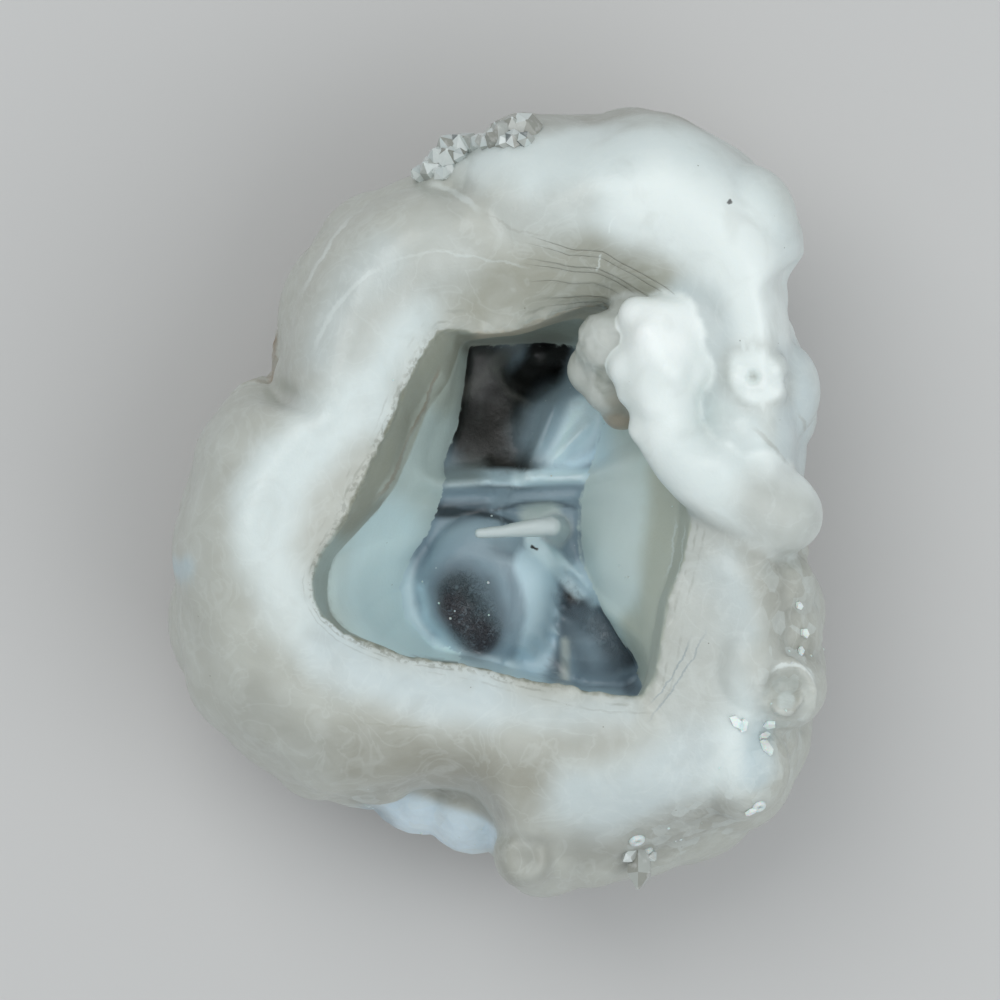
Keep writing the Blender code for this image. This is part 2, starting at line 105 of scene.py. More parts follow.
# Lip: the edge of the mouth, with a corner where two flat walls of the hollow meet.
LIP: Places = (
    (-6.0, 16.9, 35.4), (-2, 16.9, 34.6), (1, 17.3, 33.8), (4, 18.2, 32.8), (7, 19.0, 32), (10, 19.4, 31.6),
    (14, 18, 32), (17.5, 14, 33.4), (19, 8, 34.6), (19.2, 2, 35.4), (19.4, -2, 35.4), (18.5, -6, 35.2),
    (17, -10, 35), (16.5, -14, 34.6), (16, -18, 34), (14.6, -20.2, 33.6), (10, -19.8, 33.6), (6, -19, 33.8),
    (2, -18.3, 34), (-2, -17, 34.4), (-6, -16.5, 34.8), (-10, -16.1, 35.2), (-13, -15, 35.6), (-16, -13.5, 36),
    (-18, -11.8, 36.2), (-18.9, -10, 36.4), (-19, -8, 36.6), (-18.2, -5.5, 36.8), (-16, -2, 37), (-14, 2, 37),
    (-12, 6, 36.8), (-10, 10, 36.6), (-8.5, 13, 36.2), (-7, 15.5, 35.8),
)

# Ledge: where the steep band under the lip turns into the wide flat walls.
LEDGE: Places = (
    (-4.4, 16.6, 26.5), (-2, 16.7, 26), (1, 17.0, 25.5), (4.5, 17.6, 24.5), (8, 18.2, 24), (11, 17.6, 24.5),
    (14, 15, 26.5), (16.5, 10, 28.5), (17.8, 5, 30.4), (18.2, 0, 31.4), (18, -3, 31.4), (17.2, -6.5, 31.2),
    (16, -10, 31), (15.6, -14, 30.6), (15.2, -17.5, 30), (14, -20.4, 28.8), (10, -20.6, 28.6), (6, -19.9, 29),
    (2, -19.2, 29.4), (-2, -18, 30), (-6, -17.3, 30.6), (-10, -16.6, 31.2), (-13, -15.3, 31.8), (-16, -13.5, 32),
    (-17.5, -11.6, 31.6), (-17.9, -9.5, 31.2), (-17.8, -7.5, 30.6), (-17.2, -5.6, 29.8), (-15.5, -3.9, 28.8),
    (-12.8, -1.0, 27.8), (-10.7, 1.7, 27.2), (-8.9, 5.2, 26.8), (-7.4, 8.7, 26.6), (-5.2, 12, 26.5),
    (-4.6, 14.5, 26.5),
)

# Floor edge: where the walls meet the floor, each at the floor's own height there.
FLOOR_EDGE: Places = (
    (-3.3, 16.0), (0, 16.1), (4.5, 16.3), (8, 15.9), (10.4, 13.5), (10.8, 10), (10, 6), (9.2, 2.6), (8.4, 0.7),
    (8.1, -1.4), (8.1, -4), (8.4, -6.2), (9.2, -8.1), (10.5, -10.8), (12.4, -13.5), (13.7, -15.6), (14.6, -18.2),
    (13, -19.3), (9, -19), (5, -18), (1, -17), (-3, -16), (-7, -15), (-10, -12), (-10.5, -9), (-9.5, -6),
    (-7.6, -3.5), (-6.9, -1.7), (-6, 1.2), (-5.8, 4), (-4.5, 7.4), (-3.8, 11.4),
)

# Two growth lines of the terraced upper wall, halfway and outermost, from the arm round to the left.
TERRACE_MIDDLE: Places = (
    (22.0, 8.0), (19.0, 14.5), (16.4, 18.2), (13.4, 20.4), (11.3, 21.7), (9.7, 22.35), (7.4, 22.35), (5.9, 22.7),
    (3.0, 22.8), (-6.0, 24.0), (-12.0, 21.5),
)
TERRACE_TOP: Places = (
    (25.0, 8.0), (22.0, 16.0), (18.2, 20.4), (17.1, 21.3), (15.4, 22.3), (12.2, 24.0), (10.4, 25.1), (7.1, 25.3),
    (4.7, 26.1), (0.6, 27.2), (-6.0, 26.6), (-12.0, 24.5),
)


def spline(points: Places, steps: int = 8) -> np.ndarray:
    """Points along a closed smooth curve.

    Args:
        points: the points that the curve runs through.
        steps: how many points are made for each one given.

    Returns:
        The points, one row each.
    """
    ends = np.array(points, float)
    before, after, beyond = np.roll(ends, 1, 0), np.roll(ends, -1, 0), np.roll(ends, -2, 0)
    t = (np.arange(steps) / steps)[None, :, None]
    a, b, c, d = (p[:, None, :] for p in (before, ends, after, beyond))
    curve = b + 0.5 * t * (c - a + t * (2 * a - 5 * b + 4 * c - d + t * (3 * (b - c) + d - a)))
    return curve.reshape(-1, ends.shape[1])


def polygon(points: Places, steps: int = 8) -> np.ndarray:
    """Points along a closed outline with straight sides.

    Args:
        points: the outline's corners.
        steps: how many points are made for each side.

    Returns:
        The points, one row each.
    """
    ends = np.array(points, float)
    t = (np.arange(steps) / steps)[None, :, None]
    return (ends[:, None, :] * (1 - t) + np.roll(ends, -1, 0)[:, None, :] * t).reshape(-1, ends.shape[1])


def on_spokes(curve: np.ndarray, angles: np.ndarray) -> np.ndarray:
    """Where spokes from the hollow's axis meet a closed curve round it.

    Args:
        curve: the closed curve's points.
        angles: the spokes' angles in radians.

    Returns:
        One point of the curve for each angle.
    """
    turn = np.unwrap(np.arctan2(curve[:, 1] - AXIS[1], curve[:, 0] - AXIS[0]))
    if turn[-1] < turn[0]:
        turn, curve = turn[::-1], curve[::-1]
    first = np.ceil((turn[0] - angles) / math.tau)
    wanted = angles + first * math.tau
    turn = np.append(turn, turn[0] + math.tau)
    curve = np.vstack([curve, curve[:1]])
    return np.stack([np.interp(wanted, turn, column) for column in curve.T], axis=1)


def distance_to_path(xy: np.ndarray, path: Places) -> tuple[np.ndarray, np.ndarray]:
    """How far points are from a path in plan.

    Args:
        xy: the points' places in plan.
        path: the path's corners, or a single point.

    Returns:
        Each point's distance, and how far along the path its nearest place is, from 0 to 1.
    """
    if len(path) == 1:
        return np.linalg.norm(xy - np.array(path[0], float), axis=1), np.zeros(len(xy))
    best = np.full(len(xy), 1e9)
    along = np.zeros(len(xy))
    count = len(path) - 1
    for k in range(count):
        a, b = np.array(path[k], float), np.array(path[k + 1], float)
        t = np.clip(((xy - a) @ (b - a)) / ((b - a) @ (b - a)), 0, 1)
        d = np.linalg.norm(xy - (a + t[:, None] * (b - a)), axis=1)
        nearer = d < best
        best[nearer] = d[nearer]
        along[nearer] = (k + t[nearer]) / count
    return best, along


def smooth_step(low: float, high: float, x: np.ndarray) -> np.ndarray:
    """A smooth rise.

    Args:
        low: where the rise starts.
        high: where it ends; below low for a fall.
        x: the values.

    Returns:
        0 before low and 1 after high.
    """
    t = np.clip((x - low) / (high - low), 0, 1)
    return t * t * (3 - 2 * t)


def noise_at(points: np.ndarray, width: float, seed: float = 0.0) -> np.ndarray:
    """Smooth noise over places.

    Args:
        points: places in millimetres.
        width: the width of a swell.
        seed: shifts the pattern.

    Returns:
        One value from about -1 to 1 for each place.
    """
    shift = Vector((seed, 1.7 * seed, -seed))
    return np.array([noise.noise(Vector(p) / width + shift) for p in points])


def quarter_in(t: float) -> float:
    """A bend that starts slowly."""
    return 1 - math.cos(t * math.pi / 2)


def quarter_out(t: float) -> float:
    """A bend that ends slowly."""
    return math.sin(t * math.pi / 2)


def straight(t: float) -> float:
    """No bend."""
    return t


def between(a: np.ndarray, b: np.ndarray, count: int, bend_plan: Bend, bend_height: Bend) -> Iterator[np.ndarray]:
    """Rings from one ring to another, without the first.

    Args:
        a: the first ring.
        b: the last ring.
        count: how many rings are made.
        bend_plan: maps a share of the way to one in plan.
        bend_height: maps a share of the way to one in height.

    Returns:
        The rings, one at a time.
    """
    for k in range(1, count + 1):
        plan, height = bend_plan(k / count), bend_height(k / count)
        yield a + (b - a) * np.array([plan, plan, height])


def select_only(*things: bpy.types.Object) -> None:
    """Selects these objects and nothing else, and makes the first one active.

    Args:
        things: the objects.
    """
    bpy.ops.object.select_all(action="DESELECT")
    for thing in things:
        thing.select_set(True)
    bpy.context.view_layer.objects.active = things[0]


def apply_modifier(thing: bpy.types.Object, kind: str, **settings: object) -> None:
    """Adds a modifier and applies it at once.

    Args:
        thing: the object.
        kind: the modifier's type.
        settings: the modifier's settings.
    """
    select_only(thing)
    bpy.ops.object.modifier_add(type=kind)
    modifier = thing.modifiers[-1]
    for name, value in settings.items():
        setattr(modifier, name, value)
    bpy.ops.object.modifier_apply(modifier=modifier.name)


def vectors_of(mesh: bpy.types.Mesh, kind: str = "co") -> np.ndarray:
    """The places or the normals of a mesh's vertices.

    Args:
        mesh: the mesh.
        kind: co for places, or normal for normals.

    Returns:
        One row for each vertex.
    """
    values = np.empty(len(mesh.vertices) * 3, np.float32)
    if kind == "co":
        mesh.vertices.foreach_get("co", values)
    else:
        mesh.vertex_normals.foreach_get("vector", values)
    return values.reshape(-1, 3).astype(float)


def place_vertices(mesh: bpy.types.Mesh, points: np.ndarray) -> None:
    """Moves a mesh's vertices.

    Args:
        mesh: the mesh.
        points: one place for each vertex.
    """
    mesh.vertices.foreach_set("co", points.astype(np.float32).ravel())
    mesh.update()


def add_ball(centre: Sequence[float], radii: Sequence[float], model: bpy.types.Object) -> bpy.types.Object:
    """A copy of the model ball, placed and stretched.

    Args:
        centre: its centre in millimetres.
        radii: its radius along X, Y and Z.
        model: the ball of radius 1 that is copied.

    Returns:
        The new ball.
    """
    ball = model.copy()
    ball.data = model.data.copy()
    ball.data.transform(Matrix.Translation(Vector(centre)) @ Matrix.Diagonal((*radii, 1)))
    bpy.context.collection.objects.link(ball)
    return ball


def join(things: Sequence[bpy.types.Object], name: str) -> bpy.types.Object:
    """Joins objects into the first of them.

    Args:
        things: the objects.
        name: the joined object's name.

    Returns:
        The joined object.
    """
    select_only(*things)
    bpy.ops.object.join()
    things[0].name = name
    things[0].data.name = name
    return things[0]


@dataclass
class Shell:
    """The stone's shell: rings from its broken foot, up over the rolled rim, and down the walls to the floor."""

    spokes: int = 300
    base_share: float = 0.35
    base_depth: float = 1.0
    neck_share: float = 0.89
    neck_share_swing: float = 0.035
    neck_drop: float = 9.0
    evened_spokes: int = 14
    floor_level: float = 12.0
    floor_shares: tuple[float, ...] = (0.06, 0.15, 0.25, 0.35, 0.45, 0.55, 0.65, 0.75, 0.85, 0.94)
    # Domes and dishes of the floor as (x, y, reach along x, reach along y, rise).
    floor_forms: Places = (
        (4.2, 14.6, 3.4, 3.2, -4.5), (-1.0, 10.0, 4.5, 5.0, -1.6), (-0.8, -9.2, 7.4, 7.8, 4.4),
        (-3.2, -10.2, 3.6, 4.4, -1.9), (11.0, -14.2, 5.2, 5.2, 3.2), (7.0, -10.0, 2.0, 4.0, -1.6),
        (6.6, 8.0, 5.0, 5.0, 1.6),
    )
    # Low ridges of the floor as (start, end, half width, rise).
    floor_ridges: tuple[tuple[Place, Place, float, float], ...] = (
        ((-7.0, 1.5), (9.0, 2.4), 0.9, 2.6), ((-7.0, -0.6), (8.5, 0.4), 0.7, 1.0),
        ((4.0, -3.5), (10.5, -10.5), 0.9, 1.8), ((5.5, 9.5), (3.0, 3.0), 0.9, 1.4),
        ((8.8, 7.5), (4.5, 3.2), 0.7, 1.0),
    )
    lump_spacing: float = 6.2
    lump_reach: tuple[float, float] = (4.6, 7.4)
    lump_rise: float = 2.6
    lump_seed: int = 7
    lump_top: float = 30.0
    lump_fade: float = 12.0
    # The slow wander of every surface, as (width of a swell, rise).
    swells: tuple[tuple[float, float], ...] = ((13.0, 0.9), (5.0, 0.22))
    # Creases where two lobes of the rim meet: points along the crease, half width, depth at its outer end.
    creases: tuple[tuple[Places, float, float], ...] = (
        (((-5.2, 32.6), (-2.5, 30.6), (-0.2, 28.2), (1.0, 25.6)), 1.0, 0.9),
        (((-22.3, 10.6), (-20.4, 10.2), (-17.6, 9.0)), 1.3, 0.7),
        (((29.4, 22.4), (27.4, 21.2), (25.4, 21.4)), 1.3, 0.8),
        (((31.0, -5.2), (28.0, -6.6), (24.6, -6.2), (21.4, -4.4)), 1.1, 1.2),
        (((31.4, -23.2), (28.4, -22.2), (26.6, -20.0)), 1.0, 1.2),
    )
    crease_lowest: float = 18.0

    def floor_height(self, xy: np.ndarray) -> np.ndarray:
        """The height of the hollow's floor.

        Args:
            xy: places in plan.

        Returns:
            One height for each place.
        """
        z = np.full(len(xy), self.floor_level)
        for x, y, reach_x, reach_y, rise in self.floor_forms:
            share = ((xy[:, 0] - x) / reach_x) ** 2 + ((xy[:, 1] - y) / reach_y) ** 2
            z += rise * np.sqrt(np.clip(1 - share, 0, 1)) if rise > 0 else rise * np.exp(-share)
        for start, end, half_width, rise in self.floor_ridges:
            d, _ = distance_to_path(xy, (start, end))
            z += rise * np.exp(-((d / half_width) ** 2))
        return z

    def key_rings(self, angles: np.ndarray) -> dict[str, np.ndarray]:
        """The rings that the shell is drawn by.

        Args:
            angles: the spokes' angles.

        Returns:
            The rings by name, each with one point for each spoke.
        """
        waist, crest = on_spokes(spline(WAIST), angles), on_spokes(spline(CREST), angles)
        lip, ledge = on_spokes(polygon(LIP), angles), on_spokes(polygon(LEDGE), angles)
        edge = on_spokes(polygon(FLOOR_EDGE), angles)
        edge = np.column_stack([edge, self.floor_height(edge) + 0.6])
        middle = np.array([*AXIS, 0.0])
        reach = range(-self.evened_spokes, self.evened_spokes + 1)
        evened = np.mean([np.roll(waist, k, 0) for k in reach], axis=0)
        base = middle + (evened - middle) * np.array([self.base_share, self.base_share, 0])
        base[:, 2] = -self.base_depth
        share = self.neck_share + self.neck_share_swing * np.cos(3 * angles + 1.0) * np.sin(2 * angles)
        neck = middle + (evened - middle) * np.column_stack([share, share, np.ones(len(angles))])
        neck[:, 2] -= self.neck_drop
        return {"base": base, "neck": neck, "waist": waist, "crest": crest, "lip": lip, "ledge": ledge, "edge": edge}

    def rings(self) -> tuple[list[np.ndarray], list[np.ndarray]]:
        """The rings from the foot up to the crest, and those from there down to the floor's middle."""
        angles = np.arange(self.spokes) / self.spokes * math.tau
        key = self.key_rings(angles)
        middle = np.array([*AXIS, 0.0])
        base, edge = key["base"], key["edge"]
        outer = [base + (middle - base) * np.array([share, share, 0]) for share in (0.9, 0.6, 0.3, 0.0)]
        outer += between(base, key["neck"], 12, quarter_out, quarter_in)
        outer += between(key["neck"], key["waist"], 6, quarter_out, quarter_in)
        outer += between(key["waist"], key["crest"], 16, quarter_in, quarter_out)
        inner = [*between(key["crest"], key["lip"], 12, straight, quarter_in)]
        inner += between(key["lip"], key["ledge"], 6, straight, straight)
        inner += between(key["ledge"], edge, 10, straight, straight)
        for share in self.floor_shares:
            ring = edge + (middle - edge) * np.array([share, share, 0])
            ring[:, 2] = self.floor_height(ring[:, :2])
            inner.append(ring)
        return outer, inner

    def build(self) -> bpy.types.Object:
        """Adds a sphere and shapes its rings into the shell's, with the shell's lumps, wander and creases."""
        outer, inner = self.rings()
        rings = outer + inner
        bpy.ops.object.select_all(action="DESELECT")
        bpy.ops.mesh.primitive_uv_sphere_add(segments=self.spokes, ring_count=len(rings) + 1, radius=1)
        shell = bpy.context.active_object
        ball = vectors_of(shell.data)
        level = np.rint((1 - np.arccos(np.clip(ball[:, 2], -1, 1)) / math.pi) * (len(rings) + 1)).astype(int) - 1
        spoke = np.rint(np.arctan2(ball[:, 1], ball[:, 0]) / math.tau * self.spokes).astype(int) % self.spokes
        points = np.array(rings)[np.clip(level, 0, len(rings) - 1), spoke]
        points[level < 0] = rings[0].mean(axis=0)
        points[level >= len(rings)] = rings[-1].mean(axis=0)
        place_vertices(shell.data, points)
        order = level * self.spokes + spoke
        outside = (level < len(outer)) & (level >= 0)
        self._swell(shell.data, order, outside)
        points = vectors_of(shell.data)
        rise = sum(height * noise_at(points, width) for width, height in self.swells)
        place_vertices(shell.data, points + vectors_of(shell.data, "normal") * rise[:, None])
        self._crease(shell.data)
        return shell

    def _swell(self, mesh: bpy.types.Mesh, order: np.ndarray, outside: np.ndarray) -> None:
        """Raises overlapping rounded lumps on the outside, up to a height below the rim.

        Args:
            mesh: the shell's mesh.
            order: each vertex's place in the count of rings and spokes.
            outside: which vertices are on the outside.
        """
        chance = np.random.default_rng(self.lump_seed)
        points = vectors_of(mesh)
        fade = np.clip((self.lump_top - points[:, 2]) / self.lump_fade, 0, 1) * outside
        rise = np.zeros(len(points))
        candidates = np.flatnonzero(fade)
        candidates = candidates[np.argsort(order[candidates])]
        left = chance.permutation(candidates)
        while len(left):
            place = points[left[0]]
            left = left[np.linalg.norm(points[left] - place, axis=1) > self.lump_spacing]
            reach = chance.uniform(*self.lump_reach)
            rise = np.maximum(rise, 1 - (np.linalg.norm(points - place, axis=1) / reach) ** 2)
        lift = (self.lump_rise * rise * fade)[:, None]
        place_vertices(mesh, points + vectors_of(mesh, "normal") * lift)

    def _crease(self, mesh: bpy.types.Mesh) -> None:
        """Sinks the creases where lobes of the rim meet, deepest at the outline.

        Args:
            mesh: the shell's mesh.
        """
        points = vectors_of(mesh)
        depth = np.zeros(len(points))
        for path, half_width, deepest in self.creases:
            d, along = distance_to_path(points[:, :2], path)
            depth += deepest * (1 - 0.8 * along) * np.exp(-((d / half_width) ** 2))
        depth *= points[:, 2] > self.crease_lowest
        place_vertices(mesh, points - vectors_of(mesh, "normal") * depth[:, None])

    def across(self, points: np.ndarray) -> np.ndarray:
        """Where places lie on the section through the shell.

        Args:
            points: places near the shell's surface.

        Returns:
            For each place a number: -2 at the foot's middle, 0 at the waist, 1 at the crest, 2 at the lip, 3 at the
            ledge, 4 at the floor's edge and 5 at its middle, and even steps between.
        """
        away = points[:, :2] - np.array(AXIS)
        angles = np.arctan2(away[:, 1], away[:, 0])
        key = self.key_rings(angles)
        middle = np.column_stack([np.tile(np.array(AXIS), (len(points), 1)), np.zeros(len(points))])
        stops = [(-2.0, middle), (-1.5, key["base"]), (-1.0, key["neck"]), (0.0, key["waist"])]
        for share in (0.35, 0.7):
            bent = np.array([quarter_in(share), quarter_in(share), quarter_out(share)])
            stops.append((share, key["waist"] + (key["crest"] - key["waist"]) * bent))
        stops.append((1.0, key["crest"]))
        bent = np.array([0.5, 0.5, quarter_in(0.5)])
        stops.append((1.5, key["crest"] + (key["lip"] - key["crest"]) * bent))
        stops += [(2.0, key["lip"]), (3.0, key["ledge"]), (4.0, key["edge"])]
        floor = middle.copy()
        floor[:, 2] = self.floor_level + 2.0
        stops.append((5.0, floor))
        reach = np.linalg.norm(away, axis=1)
        place = np.column_stack([reach, points[:, 2]])
        best = np.full(len(points), 1e9)
        found = np.zeros(len(points))
        for (value_a, ring_a), (value_b, ring_b) in zip(stops, stops[1:]):
            a = np.column_stack([np.linalg.norm(ring_a[:, :2] - np.array(AXIS), axis=1), ring_a[:, 2]])
            b = np.column_stack([np.linalg.norm(ring_b[:, :2] - np.array(AXIS), axis=1), ring_b[:, 2]])
            t = np.clip(((place - a) * (b - a)).sum(1) / ((b - a) ** 2).sum(1), 0, 1)
            d = np.linalg.norm(place - (a + t[:, None] * (b - a)), axis=1)
            nearer = d < best
            best[nearer] = d[nearer]
            found[nearer] = (value_a + t * (value_b - value_a))[nearer]
        return found


@dataclass
class Growths:
    """What grew on the shell: the arm and its knobs, the clear lobes that hang from it, the rim's lobes, the spindle."""

    beads_per_mm: float = 1.4
    ball_subdivisions: int = 4
    # Each bead is (x, y, z, radius).
    arm: Places = (
        (16.0, 17.2, 37.0, 3.4), (16.4, 14.6, 37.4, 4.0), (16.2, 11.6, 37.4, 3.9), (16.5, 8.6, 37.2, 3.1),
        (17.1, 6.2, 37.0, 3.2), (18.6, 4.2, 36.8, 3.4), (20.6, 2.6, 36.6, 3.8), (23.0, 1.2, 36.2, 4.2),
        (25.6, 0.0, 35.6, 4.5), (27.8, -1.1, 34.4, 4.6), (29.0, -1.5, 32.8, 3.9),
    )
    arm_knobs: Places = (
        (13.9, 18.6, 37.2, 2.1), (17.8, 18.4, 37.4, 1.9), (19.0, 16.8, 37.4, 1.7), (18.9, 13.0, 37.6, 2.3),
        (13.0, 13.2, 37.2, 2.2), (13.2, 10.8, 37.0, 1.6), (14.6, 7.2, 37.2, 1.8), (18.4, 8.8, 37.4, 1.6),
        (17.0, 13.0, 39.8, 2.2), (15.2, 16.6, 39.2, 2.0), (15.6, 9.6, 39.4, 1.7), (22.0, 3.4, 38.4, 2.2),
        (26.0, 2.6, 37.4, 2.4), (14.7, 16.6, 38.2, 1.9),
    )
    hanging: Places = (
        (11.2, 15.6, 33.4, 3.5), (11.2, 11.5, 32.0, 2.9), (9.6, 13.2, 30.6, 2.9), (12.4, 9.2, 30.2, 2.3),
        (12.8, 13.6, 33.0, 3.4), (13.6, 17.4, 33.2, 3.2), (15.2, 11.4, 32.6, 3.4), (17.0, 16.6, 31.4, 4.4),
    )
    # Each lobe is (x, y, z, radius along x, y, z).
    rim_lobes: Places = (
        (21.8, 18.0, 33.6, 5.0, 8.0, 5.4), (25.0, 6.8, 34.0, 5.0, 4.8, 5.8), (26.0, 12.2, 36.4, 2.6, 2.8, 3.4),
        (28.4, 11.0, 30.0, 4.2, 5.2, 6.0), (27.6, 8.6, 24.0, 4.8, 4.6, 5.6), (29.0, -13.4, 28.0, 3.9, 4.9, 5.8),
        (28.4, -18.8, 30.0, 4.9, 4.6, 6.6), (28.8, -9.0, 30.0, 3.3, 4.0, 4.6), (25.2, -16.5, 32.5, 4.2, 5.8, 5.0),
        (24.5, -27.0, 30.0, 5.0, 5.4, 5.6), (2.6, -35.9, 26.4, 3.3, 3.5, 4.8), (6.0, -35.2, 24.0, 4.0, 3.8, 5.0),
        (-13.4, -26.6, 16.0, 6.0, 5.0, 6.6), (-7.8, -28.8, 14.0, 6.0, 5.4, 7.4), (-2.6, -30.4, 15.0, 5.6, 5.8, 8.0),
        (-4.2, 34.2, 26.0, 3.0, 2.2, 4.0), (1.6, 36.0, 30.0, 3.2, 3.0, 4.6), (24.8, 28.0, 33.0, 5.4, 6.0, 6.5),
        (-5.4, 31.6, 27.0, 2.8, 2.0, 4.6), (-2.6, 32.4, 28.0, 3.0, 3.0, 5.0),
        # The small lobes round the holed knob's hole.
        (25.5, 14.2, 38.0, 1.5, 1.4, 1.7), (27.7, 13.4, 37.6, 1.5, 1.5, 1.6), (27.5, 10.8, 37.6, 1.6, 1.5, 1.7),
        (25.2, 10.4, 37.8, 1.5, 1.4, 1.7), (24.0, 12.3, 37.8, 1.3, 1.5, 1.7), (26.5, 12.0, 37.6, 0.8, 0.8, 1.2),
    )
    rim_knobs: Places = (
        (26.4, -31.6, 23.0, 0.9), (13.9, -35.2, 26.0, 0.9), (15.4, -35.6, 25.0, 0.7),
        (28.8, -20.5, 36.0, 1.4), (29.9, -20.0, 35.8, 0.9), (22.9, 32.6, 30.0, 0.9),
    )
    spindle: Places = (
        (-2.1, -3.4, 19.6, 0.62), (0.4, -3.2, 19.5, 0.7), (2.4, -2.95, 19.4, 0.9), (4.2, -2.75, 19.3, 1.05),
        (5.2, -2.7, 19.1, 1.1), (5.3, -2.7, 17.2, 1.1), (5.5, -2.8, 15.0, 1.2), (5.7, -3.0, 12.6, 1.5),
    )
    # The raised edge that runs two thirds of the way round the crater.
    crater_edge: Places = (
        (25.7, -17.4, 35.2, 0.55), (26.6, -16.5, 35.3, 0.6), (28.0, -16.0, 35.4, 0.62), (29.6, -16.4, 35.5, 0.62),
        (31.0, -17.6, 35.4, 0.6), (31.7, -19.2, 34.9, 0.6), (31.6, -20.9, 34.1, 0.55), (30.9, -22.0, 33.4, 0.5),
    )

    def chain(self, beads: Places) -> list[Place]:
        """Beads along a chain, close enough together to fuse into one lobed rod.

        Args:
            beads: the beads that the chain is drawn by.

        Returns:
            All its beads.
        """
        made: list[Place] = []
        for a, b in zip(beads, beads[1:]):
            start, end = np.array(a), np.array(b)
            count = max(1, round(float(np.linalg.norm((end - start)[:3])) * self.beads_per_mm))
            made += [tuple(start + (end - start) * k / count) for k in range(count)]
        return made + [beads[-1]]

    def build(self) -> list[bpy.types.Object]:
        """Adds every ball and lobe, as copies of one ball."""
        bpy.ops.object.select_all(action="DESELECT")
        bpy.ops.mesh.primitive_ico_sphere_add(subdivisions=self.ball_subdivisions, radius=1)
        model = bpy.context.active_object
        beads = [*self.whole_arm(), *self.hanging, *self.rim_knobs]
        beads += [*self.chain(self.spindle), *self.chain(self.crater_edge)]
        made = [add_ball((x, y, z), (radius,) * 3, model) for x, y, z, radius in beads]
        made += [add_ball((x, y, z), radii, model) for x, y, z, *radii in self.rim_lobes]
        bpy.data.objects.remove(model)
        return made

    def whole_arm(self) -> list[Place]:
        """Every bead of the arm and its knobs."""
        return [*self.chain(self.arm), *self.arm_knobs]

    def gap(self, points: np.ndarray, beads: Sequence[Place]) -> np.ndarray:
        """How far places are from the surface of a group of beads.

        Args:
            points: the places.
            beads: the beads.

        Returns:
            One distance for each place, below 0 inside a bead.
        """
        best = np.full(len(points), 1e9)
        for x, y, z, radius in beads:
            best = np.minimum(best, np.linalg.norm(points - np.array((x, y, z)), axis=1) - radius)
        return best


class Tone(Enum):
    """The stone's tones, as red, green and blue from 0 to 255."""

    SKIN = (184, 187, 179)
    DULL_SKIN = (163, 165, 157)
    WARM_SKIN = (158, 158, 147)
    PEARL = (188, 193, 188)
    COOL = (198, 209, 210)
    MILK = (213, 223, 222)
    WHITE = (228, 236, 234)
    SNOW = (240, 246, 244)
    ICE = (180, 197, 202)
    BEIGE = (164, 165, 153)
    OLIVE = (124, 126, 114)
    WARM_OLIVE = (158, 150, 134)
    DEEP_OLIVE = (96, 92, 78)
    PALE_WALL = (161, 173, 170)
    BRIGHT_WALL = (174, 191, 193)
    SOFT_WALL = (169, 180, 179)
    DULL_WALL = (148, 153, 143)
    SHADE_WALL = (132, 142, 136)
    PALE_BLUE = (166, 186, 195)
    LIGHT_BLUE = (182, 200, 207)
    FROST_BLUE = (186, 207, 219)
    BLUE_WHITE = (211, 229, 239)
    GREY = (128, 137, 137)
    MID_BLUE = (122, 139, 149)
    SLATE = (86, 98, 106)
    DARK_SLATE = (51, 59, 64)
    PLUM = (49, 47, 52)
    SMOKE = (25, 24, 22)
    BROWN = (38, 32, 31)
    HOLE = (3, 2, 2)
    ASH = (88, 88, 84)
    CRUST = (158, 154, 142)
    RUST = (140, 118, 92)

    @property
    def linear(self) -> np.ndarray:
        """The tone in linear light."""
        share = np.array(self.value) / 255
        return np.where(share <= 0.04045, share / 12.92, ((share + 0.055) / 1.055) ** 2.4)


@dataclass(frozen=True)
class Mark:
    """A soft-edged mark of one tone along a path in plan: a spot where the path is one point."""

    tone: Tone
    path: Places
    half_width: float
    fade: float
    strength: float = 1.0
    lowest: float = -9.0
    highest: float = 99.0

    def over(self, points: np.ndarray, under: np.ndarray) -> np.ndarray:
        """Paints the mark.

        Args:
            points: the places painted.
            under: their colours before.

        Returns:
            Their colours after.
        """
        d, _ = distance_to_path(points[:, :2], self.path)
        share = self.strength * smooth_step(self.half_width + self.fade / 2, self.half_width - self.fade / 2, d)
        share *= (points[:, 2] >= self.lowest) & (points[:, 2] <= self.highest)
        return under + (self.tone.linear - under) * share[:, None]


@dataclass
class Coat:
    """One zone's tones: a ground, the marks over it in order, and a lift that brightens them as painted light."""

    name: str
    ground: Tone
    marks: tuple[Mark, ...]
    # Painted light: how much the zone's tones are brightened, for light that the deep hollow does not get.
    lift: float = 1.0
    wander: float = 0.9

    def paint(self, mesh: bpy.types.Mesh, points: np.ndarray) -> None:
        """Writes the zone's tones, brightened by the lift as painted light, to a colour attribute with the zone's
        name.

        Args:
            mesh: the stone's mesh.
            points: the drawn places of its vertices.
        """
        moved = points.copy()
        moved[:, 0] += self.wander * noise_at(points, 4.5, 3.0)
        moved[:, 1] += self.wander * noise_at(points, 4.5, 9.0)
        colours = np.tile(self.ground.linear, (len(points), 1))
        for mark in self.marks:
            colours = mark.over(moved, colours)
        # The lift brightens the tones as painted light.
        rgba = np.column_stack([np.clip(colours * self.lift, 0, 1), np.ones(len(points))])
        attribute = mesh.color_attributes.new(name=self.name, type="FLOAT_COLOR", domain="POINT")
        attribute.data.foreach_set("color", rgba.astype(np.float32).ravel())


